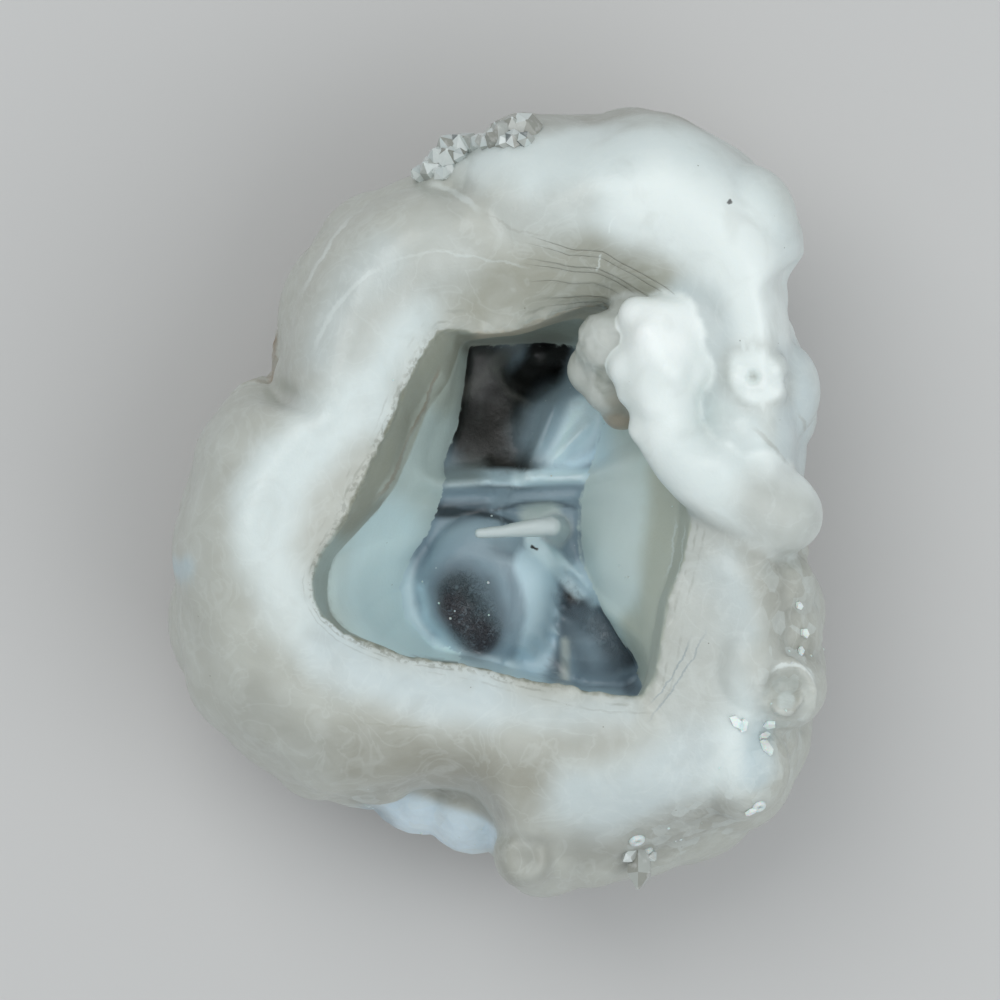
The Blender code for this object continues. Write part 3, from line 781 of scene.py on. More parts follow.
RIM_COAT = Coat(
    "rim_tint",
    Tone.SKIN,
    (
        # The long upper lobe, cool white and whitest at its right.
        Mark(Tone.MILK, ((7, 32.5), (11, 33), (17, 32), (23, 28), (27, 22), (27, 15)), 6.8, 6.0),
        Mark(Tone.WHITE, ((16, 29), (23, 26), (26, 19), (27, 14)), 4.6, 4.5),
        Mark(Tone.PEARL, ((2, 28), (8, 29.5)), 2.4, 4.0, 0.7),
        # Painted light: lighter at the top lobe's left end, over the shadow that the quartz points cast there.
        Mark(Tone.MILK, ((-2.4, 33.2), (0.5, 35.0)), 1.6, 3.4),
        Mark(Tone.DULL_SKIN, ((1, 39), (9, 39.2), (16, 39.8), (21, 38.4)), 1.4, 2.4),
        # The upper wall over the terraces, greyer and warmer towards them.
        Mark(Tone.BEIGE, ((-2, 20.5), (4, 23), (9, 23.5), (14, 21.5), (17, 19)), 3.2, 4.0),
        # The upper left lobe.
        Mark(Tone.PEARL, ((-6, 24.5), (-12, 21.5), (-16, 15)), 4.0, 5.0, 0.8),
        Mark(Tone.COOL, ((-12, 24.5), (-16.5, 19.5), (-18, 15)), 2.0, 4.0, 0.5),
        # The milky ring, which runs close round the mouth and swings out on the left.
        Mark(Tone.MILK, ((-8.6, 18.0), (-11.8, 13.2), (-14.6, 9.2)), 2.2, 4.4),
        Mark(Tone.MILK, ((-15.0, 9.4), (-18, 6.6), (-21.5, 3.2), (-24, -1)), 3.4, 4.4),
        Mark(Tone.MILK, ((-24, -1), (-23.3, -6), (-21, -10.6), (-17.6, -14.4)), 2.8, 4.6, 0.9),
        Mark(Tone.COOL, ((-17.6, -14.4), (-14, -17.2), (-9.8, -18.6), (-5.6, -19.5), (-1.6, -20.4)), 2.6, 4.4),
        Mark(Tone.COOL, ((-1.6, -20.4), (3, -21.4), (8, -21.8), (12.5, -21.8)), 1.6, 3.4, 0.7),
        Mark(Tone.DULL_SKIN, ((6.5, -24.6), (11.5, -24.2)), 1.4, 3.0, 0.5),
        Mark(Tone.MILK, ((-17.5, 7.6), (-21.8, 3.0), (-24, -1.2), (-23.4, -5)), 1.2, 3.4, 0.6),
        # The lower skin, warm and clear.
        Mark(Tone.WARM_SKIN, ((-15, -25.5), (-7, -26.6), (0, -27.6), (4.5, -28.2)), 2.8, 4.6),
        Mark(Tone.DULL_SKIN, ((-25, -20), (-19, -25)), 2.0, 4.0, 0.6),
        # The lower right lobe.
        Mark(Tone.COOL, ((8.5, -30.5), (15, -29.5), (20, -25), (22, -19)), 3.6, 5.0, 0.9),
        Mark(Tone.MILK, ((23, -19), (24.6, -26), (22.5, -29.5)), 2.2, 3.4),
        Mark(Tone.DULL_SKIN, ((8, -35.8), (16, -34.8), (22.5, -31)), 1.9, 3.0, 0.9),
        Mark(Tone.ICE, ((26.6, -23.5), (25.8, -28.0)), 1.2, 1.8, 0.7),
        # The right rim.
        Mark(Tone.PEARL, ((20.5, -3), (20.5, -12), (20, -19)), 3.4, 5.0),
        Mark(Tone.COOL, ((23.5, -7), (24.5, -13)), 2.0, 4.0, 0.7),
        Mark(Tone.DULL_SKIN, ((27.5, -5), (29.2, -11), (30, -16)), 2.6, 3.6, 0.9),
        Mark(Tone.PEARL, ((27, -17), (30, -20.5)), 3.0, 3.0, 0.5),
        # Painted shadow: a dark arc inside the crater, above its white knob.
        Mark(Tone.DULL_SKIN, ((27.8, -18.2), (29.8, -19.2), (29.6, -21.2)), 1.1, 1.2, 0.8),
        Mark(Tone.MILK, ((28.5, -20.8), (29.2, -20.6)), 0.8, 0.4, 0.6),
        Mark(Tone.COOL, ((29.8, 14), (30.4, 9), (29.6, 4)), 2.0, 2.6),
        Mark(Tone.COOL, ((19.5, 19.5), (21.5, 13), (22.5, 6)), 3.0, 3.0),
        Mark(Tone.PEARL, ((20.6, 20.0), (21.8, 15.0), (21.8, 11.0)), 1.6, 2.4, 0.3),
        Mark(Tone.MILK, ((24, 8.0), (25.5, 4.5)), 2.6, 2.4),
        Mark(Tone.PEARL, ((25.9, 12.3),), 4.0, 1.6, 0.6),
        Mark(Tone.WHITE, ((25.9, 12.3),), 3.1, 0.9),
        Mark(Tone.DULL_SKIN, ((25.6, 12.4),), 0.45, 0.6, 0.5),
        # The outer left skin, clear, with a bluish chip at its edge.
        # Painted light: lighter down the outer left side, where the light falls off.
        Mark(Tone.PEARL, ((-29, 7), (-31, 0), (-31, -8)), 1.8, 3.0, 0.3),
        Mark(Tone.ICE, ((-32.4, -7.0),), 1.2, 1.6),
        # The bluish lobes under the lower left edge.
        Mark(Tone.BLUE_WHITE, ((-12, -31.5), (-7, -33), (-2.6, -34)), 2.6, 1.6, 1.0, -9, 24),
        Mark(Tone.MID_BLUE, ((-13.4, -31.6), (-11.8, -33.0)), 0.9, 1.4, 0.6, -9, 24),
        Mark(Tone.DULL_SKIN, ((-14.5, -30.4), (-8.5, -28.8), (-2.6, -29.4), (0, -32)), 0.9, 1.6),
        Mark(Tone.DULL_SKIN, ((2.5, -36.4),), 2.8, 1.4),
    ),
)

BAND_COAT = Coat(
    "band_tint",
    Tone.OLIVE,
    (
        Mark(Tone.WARM_OLIVE, ((-1.0, 17.2), (4.5, 18.2), (9, 19.0), (13.5, 18.4)), 1.6, 1.2, 0.9),
        Mark(Tone.DULL_WALL, ((-6.2, 12.3), (-7.9, 8.6), (-9.9, 3.7), (-11.8, 0.8)), 0.62, 0.3, 0.9),
        Mark(Tone.DULL_WALL, ((19, 4), (18, -6), (16, -14), (15.4, -19)), 2.4, 2.0),
        Mark(Tone.SHADE_WALL, ((-17.8, -5), (-18.6, -10)), 2.0, 2.0),
    ),
    # Painted light: the band's tones are brightened 1.5 times, for light that the deep hollow does not get.
    1.5,
    0.4,
)

WALL_COAT = Coat(
    "wall_tint",
    Tone.PALE_WALL,
    (
        # Painted shade: darker at the top of the left wall, in the corner under the lip.
        Mark(Tone.DULL_WALL, ((-5, 14), (-5.6, 10.5)), 1.8, 3.4, 0.8),
        Mark(Tone.BRIGHT_WALL, ((-11.5, -3.5), (-13, -9), (-11, -14)), 3.4, 3.8),
        Mark(Tone.BRIGHT_WALL, ((-11, -14.6), (-5, -16.6), (0, -18)), 2.2, 1.4),
        Mark(Tone.DEEP_OLIVE, ((-3.6, 16.6), (9, 18)), 1.6, 1.4, 0.7),
        Mark(Tone.SOFT_WALL, ((11, 4), (12, -3), (12.4, -9)), 2.6, 3.4),
        Mark(Tone.PALE_BLUE, ((10.4, 8.0), (10.6, 4.4)), 1.0, 2.4, 0.7),
        Mark(Tone.DULL_WALL, ((17.6, 2), (16.6, -8), (15.4, -17)), 2.4, 2.0),
        Mark(Tone.DULL_WALL, ((13.6, -13), (15, -18)), 1.4, 2.4),
        # Painted shadow: a dark olive line under the overhang of the lower lip.
        Mark(Tone.DEEP_OLIVE, ((-9.9, -16.3), (-6, -16.9), (-2, -17.5), (1.5, -18.5)), 0.5, 0.4, 0.9),
    ),
    # Painted light: the walls' tones are brightened 1.75 times, for light that the deep hollow does not get.
    1.75,
    0.5,
)

FLOOR_COAT = Coat(
    "floor_tint",
    Tone.MID_BLUE,
    (
        # The dark upper end, with a brown streak, the deep hole painted near black as its shade, and a pale fan on its
        # right.
        Mark(Tone.SMOKE, ((-3, 13), (-1.5, 8), (0, 5)), 4.6, 3.0),
        Mark(Tone.ASH, ((2.6, 16.2), (0.1, 14.5), (-1.8, 12.6), (-3.8, 10.9)), 0.7, 0.9, 0.55),
        # Painted shade: the deep hole is painted near black.
        Mark(Tone.HOLE, ((5.2, 15.5), (4.4, 13.2), (2.6, 11.4)), 2.3, 1.4),
        Mark(Tone.ASH, ((-0.4, 13.4), (0.8, 11.2), (2.8, 10.0)), 0.3, 0.6, 0.45),
        Mark(Tone.MID_BLUE, ((3.4, 6.4), (6, 9.6)), 1.8, 4.0, 0.8),
        Mark(Tone.PALE_BLUE, ((9.0, 8.0), (6.4, 4.5)), 2.4, 3.0, 0.9),
        Mark(Tone.LIGHT_BLUE, ((9.6, 8.6), (8.4, 6.6)), 1.4, 2.4, 0.9),
        Mark(Tone.LIGHT_BLUE, ((8.2, 9.6), (5.8, 4.4)), 0.9, 1.0),
        Mark(Tone.FROST_BLUE, ((8.0, 9.2), (5.8, 4.6)), 0.45, 0.8, 0.9),
        Mark(Tone.FROST_BLUE, ((10.6, 5.2), (9.0, 4.2), (7.0, 3.4)), 0.45, 0.7, 0.8),
        # The two ridges across the floor, and the dark wedge under them.
        Mark(Tone.PALE_BLUE, ((-6.5, 2.0), (0, 2.3), (9, 2.6)), 0.75, 0.7, 0.95),
        Mark(Tone.LIGHT_BLUE, ((1.8, 2.3), (4, 2.35), (9.5, 2.3)), 0.7, 0.7),
        Mark(Tone.FROST_BLUE, ((3.6, 2.5), (9.5, 2.5)), 0.35, 0.8, 0.7),
        Mark(Tone.GREY, ((-6.5, 2.2), (-2.8, 2.3)), 1.2, 2.8, 0.75),
        Mark(Tone.SLATE, ((-6.5, 1.1), (-1, 1.3)), 0.2, 0.5, 0.5),
        Mark(Tone.MID_BLUE, ((-6.5, 0.5), (8.5, 0.6)), 0.8, 0.6),
        Mark(Tone.SLATE, ((-7.0, -0.9), (-2.0, -1.0)), 0.9, 1.0),
        Mark(Tone.SMOKE, ((-7.0, -1.1), (-4.6, -1.2)), 0.55, 0.7, 0.9),
        Mark(Tone.DARK_SLATE, ((-7.0, -1.1), (-2.8, -1.2), (-0.7, -1.7), (1.3, -2.4)), 0.32, 0.45),
        Mark(Tone.SLATE, ((-0.6, -1.0), (2.8, -0.2), (5.5, -0.2), (7.8, -0.8)), 0.2, 0.35),
        Mark(Tone.PALE_WALL, ((3.2, -1.5), (5.2, -1.4)), 1.2, 0.9, 0.9),
        # The banded eye: its blue ground, dark pupil and pale band.
        Mark(Tone.PALE_BLUE, ((-6.5, -3.2), (-3, -3.0), (1, -3.6)), 0.8, 2.4, 0.3),
        Mark(Tone.SLATE, ((-0.5, -5.0), (2.2, -5.8)), 0.35, 1.2, 0.5),
        Mark(Tone.ICE, ((-11, -6.5), (-10.9, -11), (-8.4, -15.4), (-3, -17.8), (2.4, -18.8)), 2.0, 1.4),
        Mark(Tone.PALE_BLUE, ((-8.2, -9.0), (-7.4, -12.0), (-4.4, -15.6), (0, -17.0)), 0.5, 1.0, 0.8),
        Mark(Tone.SLATE, ((-4.4, -9.2), (-2.6, -12.6)), 3.0, 2.6),
        Mark(Tone.SLATE, ((-1.2, -8.4), (-0.4, -11.4), (-1.0, -14.6)), 0.9, 1.8, 0.8),
        Mark(Tone.DARK_SLATE, ((-4.4, -9.6), (-2.4, -13.4)), 2.0, 1.6),
        Mark(Tone.PLUM, ((-4.8, -10.8), (-3.6, -12.4), (-2.0, -14.0)), 1.5, 1.0, 0.9),
        Mark(Tone.SLATE, ((0.9, -6.8), (1.4, -9.5), (1.0, -13.4)), 0.2, 0.9, 0.35),
        Mark(Tone.PALE_BLUE, ((3.2, -6.4), (4.3, -9), (4.5, -12), (3.4, -16.4)), 1.8, 1.0),
        Mark(Tone.LIGHT_BLUE, ((3.4, -8.0), (3.9, -11), (3.4, -15)), 0.7, 1.2, 0.35),
        # The dark valley, and the second lobe beyond it.
        Mark(Tone.SLATE, ((7.0, -8.8), (7.4, -10.6), (7.0, -14), (5.9, -17.4)), 0.7, 1.1),
        Mark(Tone.DARK_SLATE, ((8.8, -11.0), (11, -13), (13.2, -16.6)), 1.9, 1.5),
        Mark(Tone.BROWN, ((7.6, -9.8), (8.4, -11.6)), 0.8, 1.2),
        Mark(Tone.SLATE, ((8.4, -12.8), (10.4, -16.4)), 2.4, 1.6, 0.9),
        Mark(Tone.MID_BLUE, ((9.2, -15.0), (9.8, -16.8)), 0.9, 2.4, 0.7),
        Mark(Tone.MID_BLUE, ((9.0, -18.6), (12, -18.4), (14.0, -17.6)), 0.8, 1.2, 0.9),
        Mark(Tone.PALE_BLUE, ((2, -19.0), (8, -20.0), (12, -20.3)), 0.9, 1.0, 0.7),
        Mark(Tone.SLATE, ((13.4, -19.2), (15.2, -19.4)), 0.6, 0.8),
        Mark(Tone.SKIN, ((6.7, -14.6), (6.6, -18.4)), 0.45, 0.8, 0.6),
        # The pale slab that runs down from the spindle's root.
        Mark(Tone.ICE, ((3.4, -4.2), (6, -6.8), (8.4, -9.2)), 0.9, 0.7, 0.9),
        Mark(Tone.PALE_BLUE, ((8.2, -7.2), (10.0, -10.2)), 0.9, 0.9, 0.8),
        Mark(Tone.MID_BLUE, ((7.4, -1.6), (8.2, -5.0)), 0.8, 0.9, 0.9),
        Mark(Tone.SLATE, ((6.8, -2.2), (6.9, -3.4)), 0.3, 0.6, 0.8),
        # Painted shadow: a dark olive line on the floor under the overhang of the lower lip.
        Mark(Tone.DEEP_OLIVE, ((-2, -17.5), (1.5, -18.5), (4.0, -19.0)), 0.35, 0.4, 0.8),
    ),
    # Painted light: the floor's tones are brightened 1.5 times, for light that the deep hollow does not get.
    1.5,
    0.35,
)

GROWTH_COAT = Coat(
    "growth_tint",
    Tone.WHITE,
    (
        Mark(Tone.SNOW, ((14.4, 17.6), (17.4, 17.2)), 3.0, 4.0),
        Mark(Tone.MILK, ((19.5, 4), (24, 1)), 3.4, 3.0, 0.7),
        Mark(Tone.PEARL, ((27, -0.6), (30, -2)), 3.4, 3.4, 0.9),
        Mark(Tone.PEARL, ((17.0, -1.6), (21, -3.8), (25, -5.4), (29, -6.0)), 1.9, 2.2, 1.0),
    ),
)

# The lobes that hang from the arm: clear, and greyer and browner the lower they hang.
HANGING_COAT = Coat(
    "hanging_tint",
    Tone.PEARL,
    (
        Mark(Tone.DULL_WALL, ((10.8, 11.8), (12.8, 10.4)), 1.9, 0.7, 0.7),
        Mark(Tone.WARM_OLIVE, ((11.4, 10.0), (13.4, 9.0)), 1.2, 1.6, 0.4),
        Mark(Tone.WARM_OLIVE, ((11.2, 8.2), (13.6, 7.2)), 1.1, 1.0, 0.9),
        Mark(Tone.PEARL, ((7.2, 14.6), (7.5, 12.2), (8.8, 10.4)), 0.8, 0.5),
        Mark(Tone.COOL, ((-3, -3.3), (8, -3.3)), 3.0, 1.0, 1.0, -9, 22),
    ),
)


@dataclass
class Stone:
    """The whole stone: its shell and growths fused into one skin, with fine relief, and its zones' tones."""

    shell: Shell = field(default_factory=Shell)
    growths: Growths = field(default_factory=Growths)
    coats: tuple[Coat, ...] = (RIM_COAT, BAND_COAT, WALL_COAT, FLOOR_COAT, GROWTH_COAT, HANGING_COAT)
    voxel: float = 0.34
    smoothing_steps: int = 3
    arm_smoothing_steps: int = 30
    most_triangles: int = 190_000
    # Round dishes sunk in the tops of three lobes as (x, y, lowest point of the lobe's top, radius, depth).
    dishes: Places = (
        (25.6, 12.3, 37.0, 1.1, 1.2), (28.9, -19.2, 33.0, 2.7, 2.3), (2.6, -36.4, 26.0, 2.3, 1.1),
    )
    terrace_levels: tuple[float, ...] = (0.06, 0.13, 0.22, 0.42, 0.60, 0.68, 0.88, 0.98)
    middle: np.ndarray = field(default_factory=lambda: np.zeros(3))
    scale: np.ndarray = field(default_factory=lambda: np.ones(3))

    def build(self) -> bpy.types.Object:
        """Builds the stone's mesh, in metres in the frame."""
        body = self.shell.build()
        stone = join([body, *self.growths.build()], "stone")
        apply_modifier(stone, "REMESH", mode="VOXEL", voxel_size=self.voxel)
        apply_modifier(stone, "SMOOTH", factor=0.5, iterations=self.smoothing_steps)
        self._soften_arm(stone)
        self._sink_dishes(stone.data)
        self._relieve(stone.data)
        self._cut_flat(stone)
        stone.data.calc_loop_triangles()
        count = len(stone.data.loop_triangles)
        if count > self.most_triangles:
            apply_modifier(stone, "DECIMATE", ratio=self.most_triangles / count)
        self._fit(stone.data)
        self._write_fields(stone.data)
        select_only(stone)
        bpy.ops.object.shade_smooth()
        return stone

    def _sink_dishes(self, mesh: bpy.types.Mesh) -> None:
        """Lowers the middle of each dish, and leaves its edge where it was.

        Args:
            mesh: the stone's mesh, in millimetres.
        """
        points = vectors_of(mesh)
        for x, y, lowest, radius, depth in self.dishes:
            away = np.hypot(points[:, 0] - x, points[:, 1] - y)
            share = np.clip(1 - (away / radius) ** 2, 0, 1) ** 2
            points[:, 2] -= depth * share * (points[:, 2] > lowest)
        place_vertices(mesh, points)

    def terrace(self, points: np.ndarray) -> tuple[np.ndarray, np.ndarray]:
        """The growth terraces of the upper wall.

        Args:
            points: drawn places.

        Returns:
            How far each place is from the lip to the outermost line, from 0 to 1, and how strong the lines are there.
        """
        away = points[:, :2] - np.array(AXIS)
        angles = np.arctan2(away[:, 1], away[:, 0])
        reach = np.linalg.norm(away, axis=1)
        lip = np.linalg.norm(on_spokes(polygon(LIP), angles)[:, :2] - np.array(AXIS), axis=1)
        middle, top = (self._reach_of(line, angles) for line in (TERRACE_MIDDLE, TERRACE_TOP))
        inner = 0.5 * (reach - lip) / (middle - lip)
        outer = 0.5 + 0.5 * (reach - middle) / (top - middle)
        level = np.where(reach < middle, inner, outer)
        degrees = np.degrees(angles)
        start = 72 + 9 * np.clip(level / 0.5, 0, 1)
        strength = smooth_step(43, 50, degrees) * smooth_step(6, -7, degrees - start)
        return level, strength * smooth_step(-0.6, -0.1, level) * smooth_step(1.12, 1.0, level)

    def _reach_of(self, line: Places, angles: np.ndarray) -> np.ndarray:
        """How far a line in plan is from the hollow's axis.

        Args:
            line: the line's points, in the order of their angles.
            angles: the angles at which it is wanted.

        Returns:
            One distance for each angle.
        """
        away = np.array(line, float) - np.array(AXIS)
        return np.interp(angles, np.arctan2(away[:, 1], away[:, 0]), np.linalg.norm(away, axis=1))

    def _relieve(self, mesh: bpy.types.Mesh) -> None:
        """Gives the skin its fine relief: terraces, druse, the crust outside, and a wandering lip.

        Args:
            mesh: the stone's mesh, in millimetres.
        """
        points, normals = vectors_of(mesh), vectors_of(mesh, "normal")
        across = self.shell.across(points)
        level, strength = self.terrace(points)
        step = sum(smooth_step(at - 0.03, at + 0.03, level) for at in self.terrace_levels)
        free = smooth_step(0.1, 0.7, self.growths.gap(points, self.growths.whole_arm()))
        rise = 0.16 * (step - len(self.terrace_levels) * level) * strength * free * (across < 2.6)
        rise += 0.22 * noise_at(points, 1.1, 5.0) * self.crust(points, across)
        rise += 0.10 * noise_at(points, 1.0, 2.0) * self.frost(points, across)
        lip = np.exp(-((across - 2.0) / 0.12) ** 2) * free
        rise += (0.24 * noise_at(points, 1.6, 7.0) + 0.16 * noise_at(points, 0.7, 4.0)) * lip
        place_vertices(mesh, points + normals * rise[:, None])

    def frost(self, points: np.ndarray, across: np.ndarray) -> np.ndarray:
        """How frosted with druse the skin is.

        Args:
            points: drawn places.
            across: where they lie on the shell's section.

        Returns:
            A share from 0 to 1 for each place.
        """
        right, _ = distance_to_path(points[:, :2], ((29, -8), (30, -14), (28.5, -19), (28, -26), (22, -32), (15, -35)))
        blue, _ = distance_to_path(points[:, :2], ((-14, -31), (-7, -33), (-2, -34.5)))
        share = smooth_step(4.2, 1.6, right) + smooth_step(3.0, 1.0, blue) + smooth_step(-0.2, -0.8, across)
        return np.clip(share, 0, 1)

    def crust(self, points: np.ndarray, across: np.ndarray) -> np.ndarray:
        """How much rough outer crust there is: all round below the waist, except on the clear lower left lobes.

        Args:
            points: drawn places.
            across: where they lie on the shell's section.

        Returns:
            A share from 0 to 1 for each place.
        """
        lobes, _ = distance_to_path(points[:, :2], ((-14, -30.5), (-7, -33), (-2, -34.5)))
        clear = smooth_step(4.6, 3.2, lobes) * smooth_step(8.0, 12.0, points[:, 2])
        return smooth_step(-0.45, -0.85, across + 0.30 * noise_at(points, 6.0, 8.0)) * (1 - clear)

    def drusy(self, points: np.ndarray, across: np.ndarray) -> np.ndarray:
        """How rough with druse the floor is: its dark pupil and the dark valley.

        Args:
            points: drawn places.
            across: where they lie on the shell's section.

        Returns:
            A share from 0 to 1 for each place.
        """
        pupil, _ = distance_to_path(points[:, :2], ((-3.8, -9.8), (-2.4, -13.2)))
        valley, _ = distance_to_path(points[:, :2], ((6.6, -9.4), (8.4, -11.4), (12.2, -15)))
        share = smooth_step(3.2, 1.6, pupil) + 0.6 * smooth_step(2.0, 0.8, valley)
        return np.clip(share, 0, 1) * smooth_step(3.6, 3.9, across)

    def _soften_arm(self, stone: bpy.types.Object) -> None:
        """Smooths the arm and what hangs from it, so that its lobes run softly into each other.

        Args:
            stone: the stone, in millimetres.
        """
        points = vectors_of(stone.data)
        near = self.growths.gap(points, [*self.growths.whole_arm(), *self.growths.hanging])
        group = stone.vertex_groups.new(name="arm")
        level = np.rint(smooth_step(2.2, 0.3, near) * 8).astype(int)
        for step in range(1, 9):
            group.add(np.flatnonzero(level == step).tolist(), step / 8, "REPLACE")
        apply_modifier(stone, "SMOOTH", factor=0.5, iterations=self.arm_smoothing_steps, vertex_group=group.name)
        stone.vertex_groups.clear()

    def _cut_flat(self, stone: bpy.types.Object) -> None:
        """Cuts the underside off flat at height 0.

        Args:
            stone: the stone, in millimetres.
        """
        select_only(stone)
        bpy.ops.object.mode_set(mode="EDIT")
        bpy.ops.mesh.select_all(action="SELECT")
        bpy.ops.mesh.bisect(plane_co=(0, 0, 0), plane_no=(0, 0, 1), clear_inner=True, use_fill=True)
        bpy.ops.mesh.select_all(action="DESELECT")
        bpy.ops.object.mode_set(mode="OBJECT")

    def _fit(self, mesh: bpy.types.Mesh) -> None:
        """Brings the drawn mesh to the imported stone's box, in metres, and keeps how it was shifted.

        Args:
            mesh: the stone's mesh, in millimetres.
        """
        low, high = (np.array(corner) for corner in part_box(NODE))
        points = vectors_of(mesh)
        lowest, highest = points.min(axis=0), points.max(axis=0)
        self.scale = (high - low) / (highest - lowest)
        self.middle = lowest - low / self.scale
        place_vertices(mesh, self.to_frame(points))

    def to_frame(self, points: np.ndarray) -> np.ndarray:
        """Drawn places in millimetres as places in the frame in metres."""
        return (points - self.middle) * self.scale

    def to_drawing(self, points: np.ndarray) -> np.ndarray:
        """Places in the frame in metres as drawn places in millimetres."""
        return points / self.scale + self.middle

    def _write_fields(self, mesh: bpy.types.Mesh) -> None:
        """Writes the zones' tones and the numbers that the material reads to the mesh's attributes.

        Args:
            mesh: the stone's mesh, in metres.
        """
        points = self.to_drawing(vectors_of(mesh))
        across = self.shell.across(points)
        level, strength = self.terrace(points)
        rise = self._near_lower_lip(points) * smooth_step(3.05, 3.25, across)
        across = across + rise * np.clip(4.3 - across, 0, None)
        arm, hanging, spindle = (
            self.growths.gap(points, beads)
            for beads in (self.growths.whole_arm(), self.growths.hanging, self.growths.chain(self.growths.spindle))
        )
        grown = np.minimum(np.minimum(arm, hanging), spindle + 0.2)
        numbers = {
            "across": across, "terrace": level, "terraced": strength, "grown": np.clip(grown, -1, 2),
            "hanging": np.clip(arm - hanging, -1, 1), "frost": self.frost(points, across),
            "drusy": self.drusy(points, across), "crust": self.crust(points, across),
        }
        for name, values in numbers.items():
            attribute = mesh.attributes.new(name=name, type="FLOAT", domain="POINT")
            attribute.data.foreach_set("value", values.astype(np.float32))
        for coat in self.coats:
            coat.paint(mesh, points)

    def _near_lower_lip(self, points: np.ndarray) -> np.ndarray:
        """How far places are under the lower lip, where the floor runs on up the wall."""
        d, _ = distance_to_path(points[:, :2], ((-1.5, -17.4), (6, -18.9), (12, -19.8)))
        corner, _ = distance_to_path(points[:, :2], ((12.7, -16.0), (13.2, -17.0)))
        return np.maximum(smooth_step(3.0, 2.6, d), smooth_step(1.1, 0.8, corner))

    def dress(self, stone: bpy.types.Object, finish: "Chalcedony") -> None:
        """Gives the stone its finish and ties it to the frame.

        Args:
            stone: the stone.
            finish: its finish.
        """
        stone.data.materials.clear()
        stone.data.materials.append(finish.make())
        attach(stone, BODY)
        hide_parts(NODE)


class Value:
    """A socket or a number in a shader expression. Sums on it add Math nodes."""

    def __init__(self, graph: "Graph", source: "bpy.types.NodeSocket | float") -> None:
        """Wraps a socket or a number of a graph."""
        self.graph = graph
        self.source = source

    def _math(self, operation: str, *others: "Value | float", swap: bool = False) -> "Value":
        """Adds a Math node.

        Args:
            operation: the node's operation.
            others: its other values.
            swap: whether this value comes second.

        Returns:
            The node's result.
        """
        values = [self, *others]
        if swap:
            values.reverse()
        node = self.graph.add("ShaderNodeMath", {"operation": operation}, dict(enumerate(values)))
        return Value(self.graph, node.outputs[0])

    def __add__(self, other: "Value | float") -> "Value":
        """Sum."""
        return self._math("ADD", other)

    def __radd__(self, other: float) -> "Value":
        """Sum."""
        return self._math("ADD", other)

    def __sub__(self, other: "Value | float") -> "Value":
        """Difference."""
        return self._math("SUBTRACT", other)

    def __rsub__(self, other: float) -> "Value":
        """Difference."""
        return self._math("SUBTRACT", other, swap=True)

    def __mul__(self, other: "Value | float") -> "Value":
        """Product."""
        return self._math("MULTIPLY", other)

    def __rmul__(self, other: float) -> "Value":
        """Product."""
        return self._math("MULTIPLY", other)

    def __truediv__(self, other: "Value | float") -> "Value":
        """Quotient."""
        return self._math("DIVIDE", other)

    def size(self) -> "Value":
        """The value without its sign."""
        return self._math("ABSOLUTE")

    def step(self, low: float, high: float) -> "Value":
        """A smooth rise from 0 at low to 1 at high.

        Args:
            low: where the rise starts.
            high: where it ends; below low for a fall.

        Returns:
            The share.
        """
        flip = high < low
        inputs = {"Value": self, "From Min": min(low, high), "From Max": max(low, high)}
        inputs |= {"To Min": float(flip), "To Max": float(not flip)}
        node = self.graph.add("ShaderNodeMapRange", {"interpolation_type": "SMOOTHSTEP"}, inputs)
        return Value(self.graph, node.outputs[0])


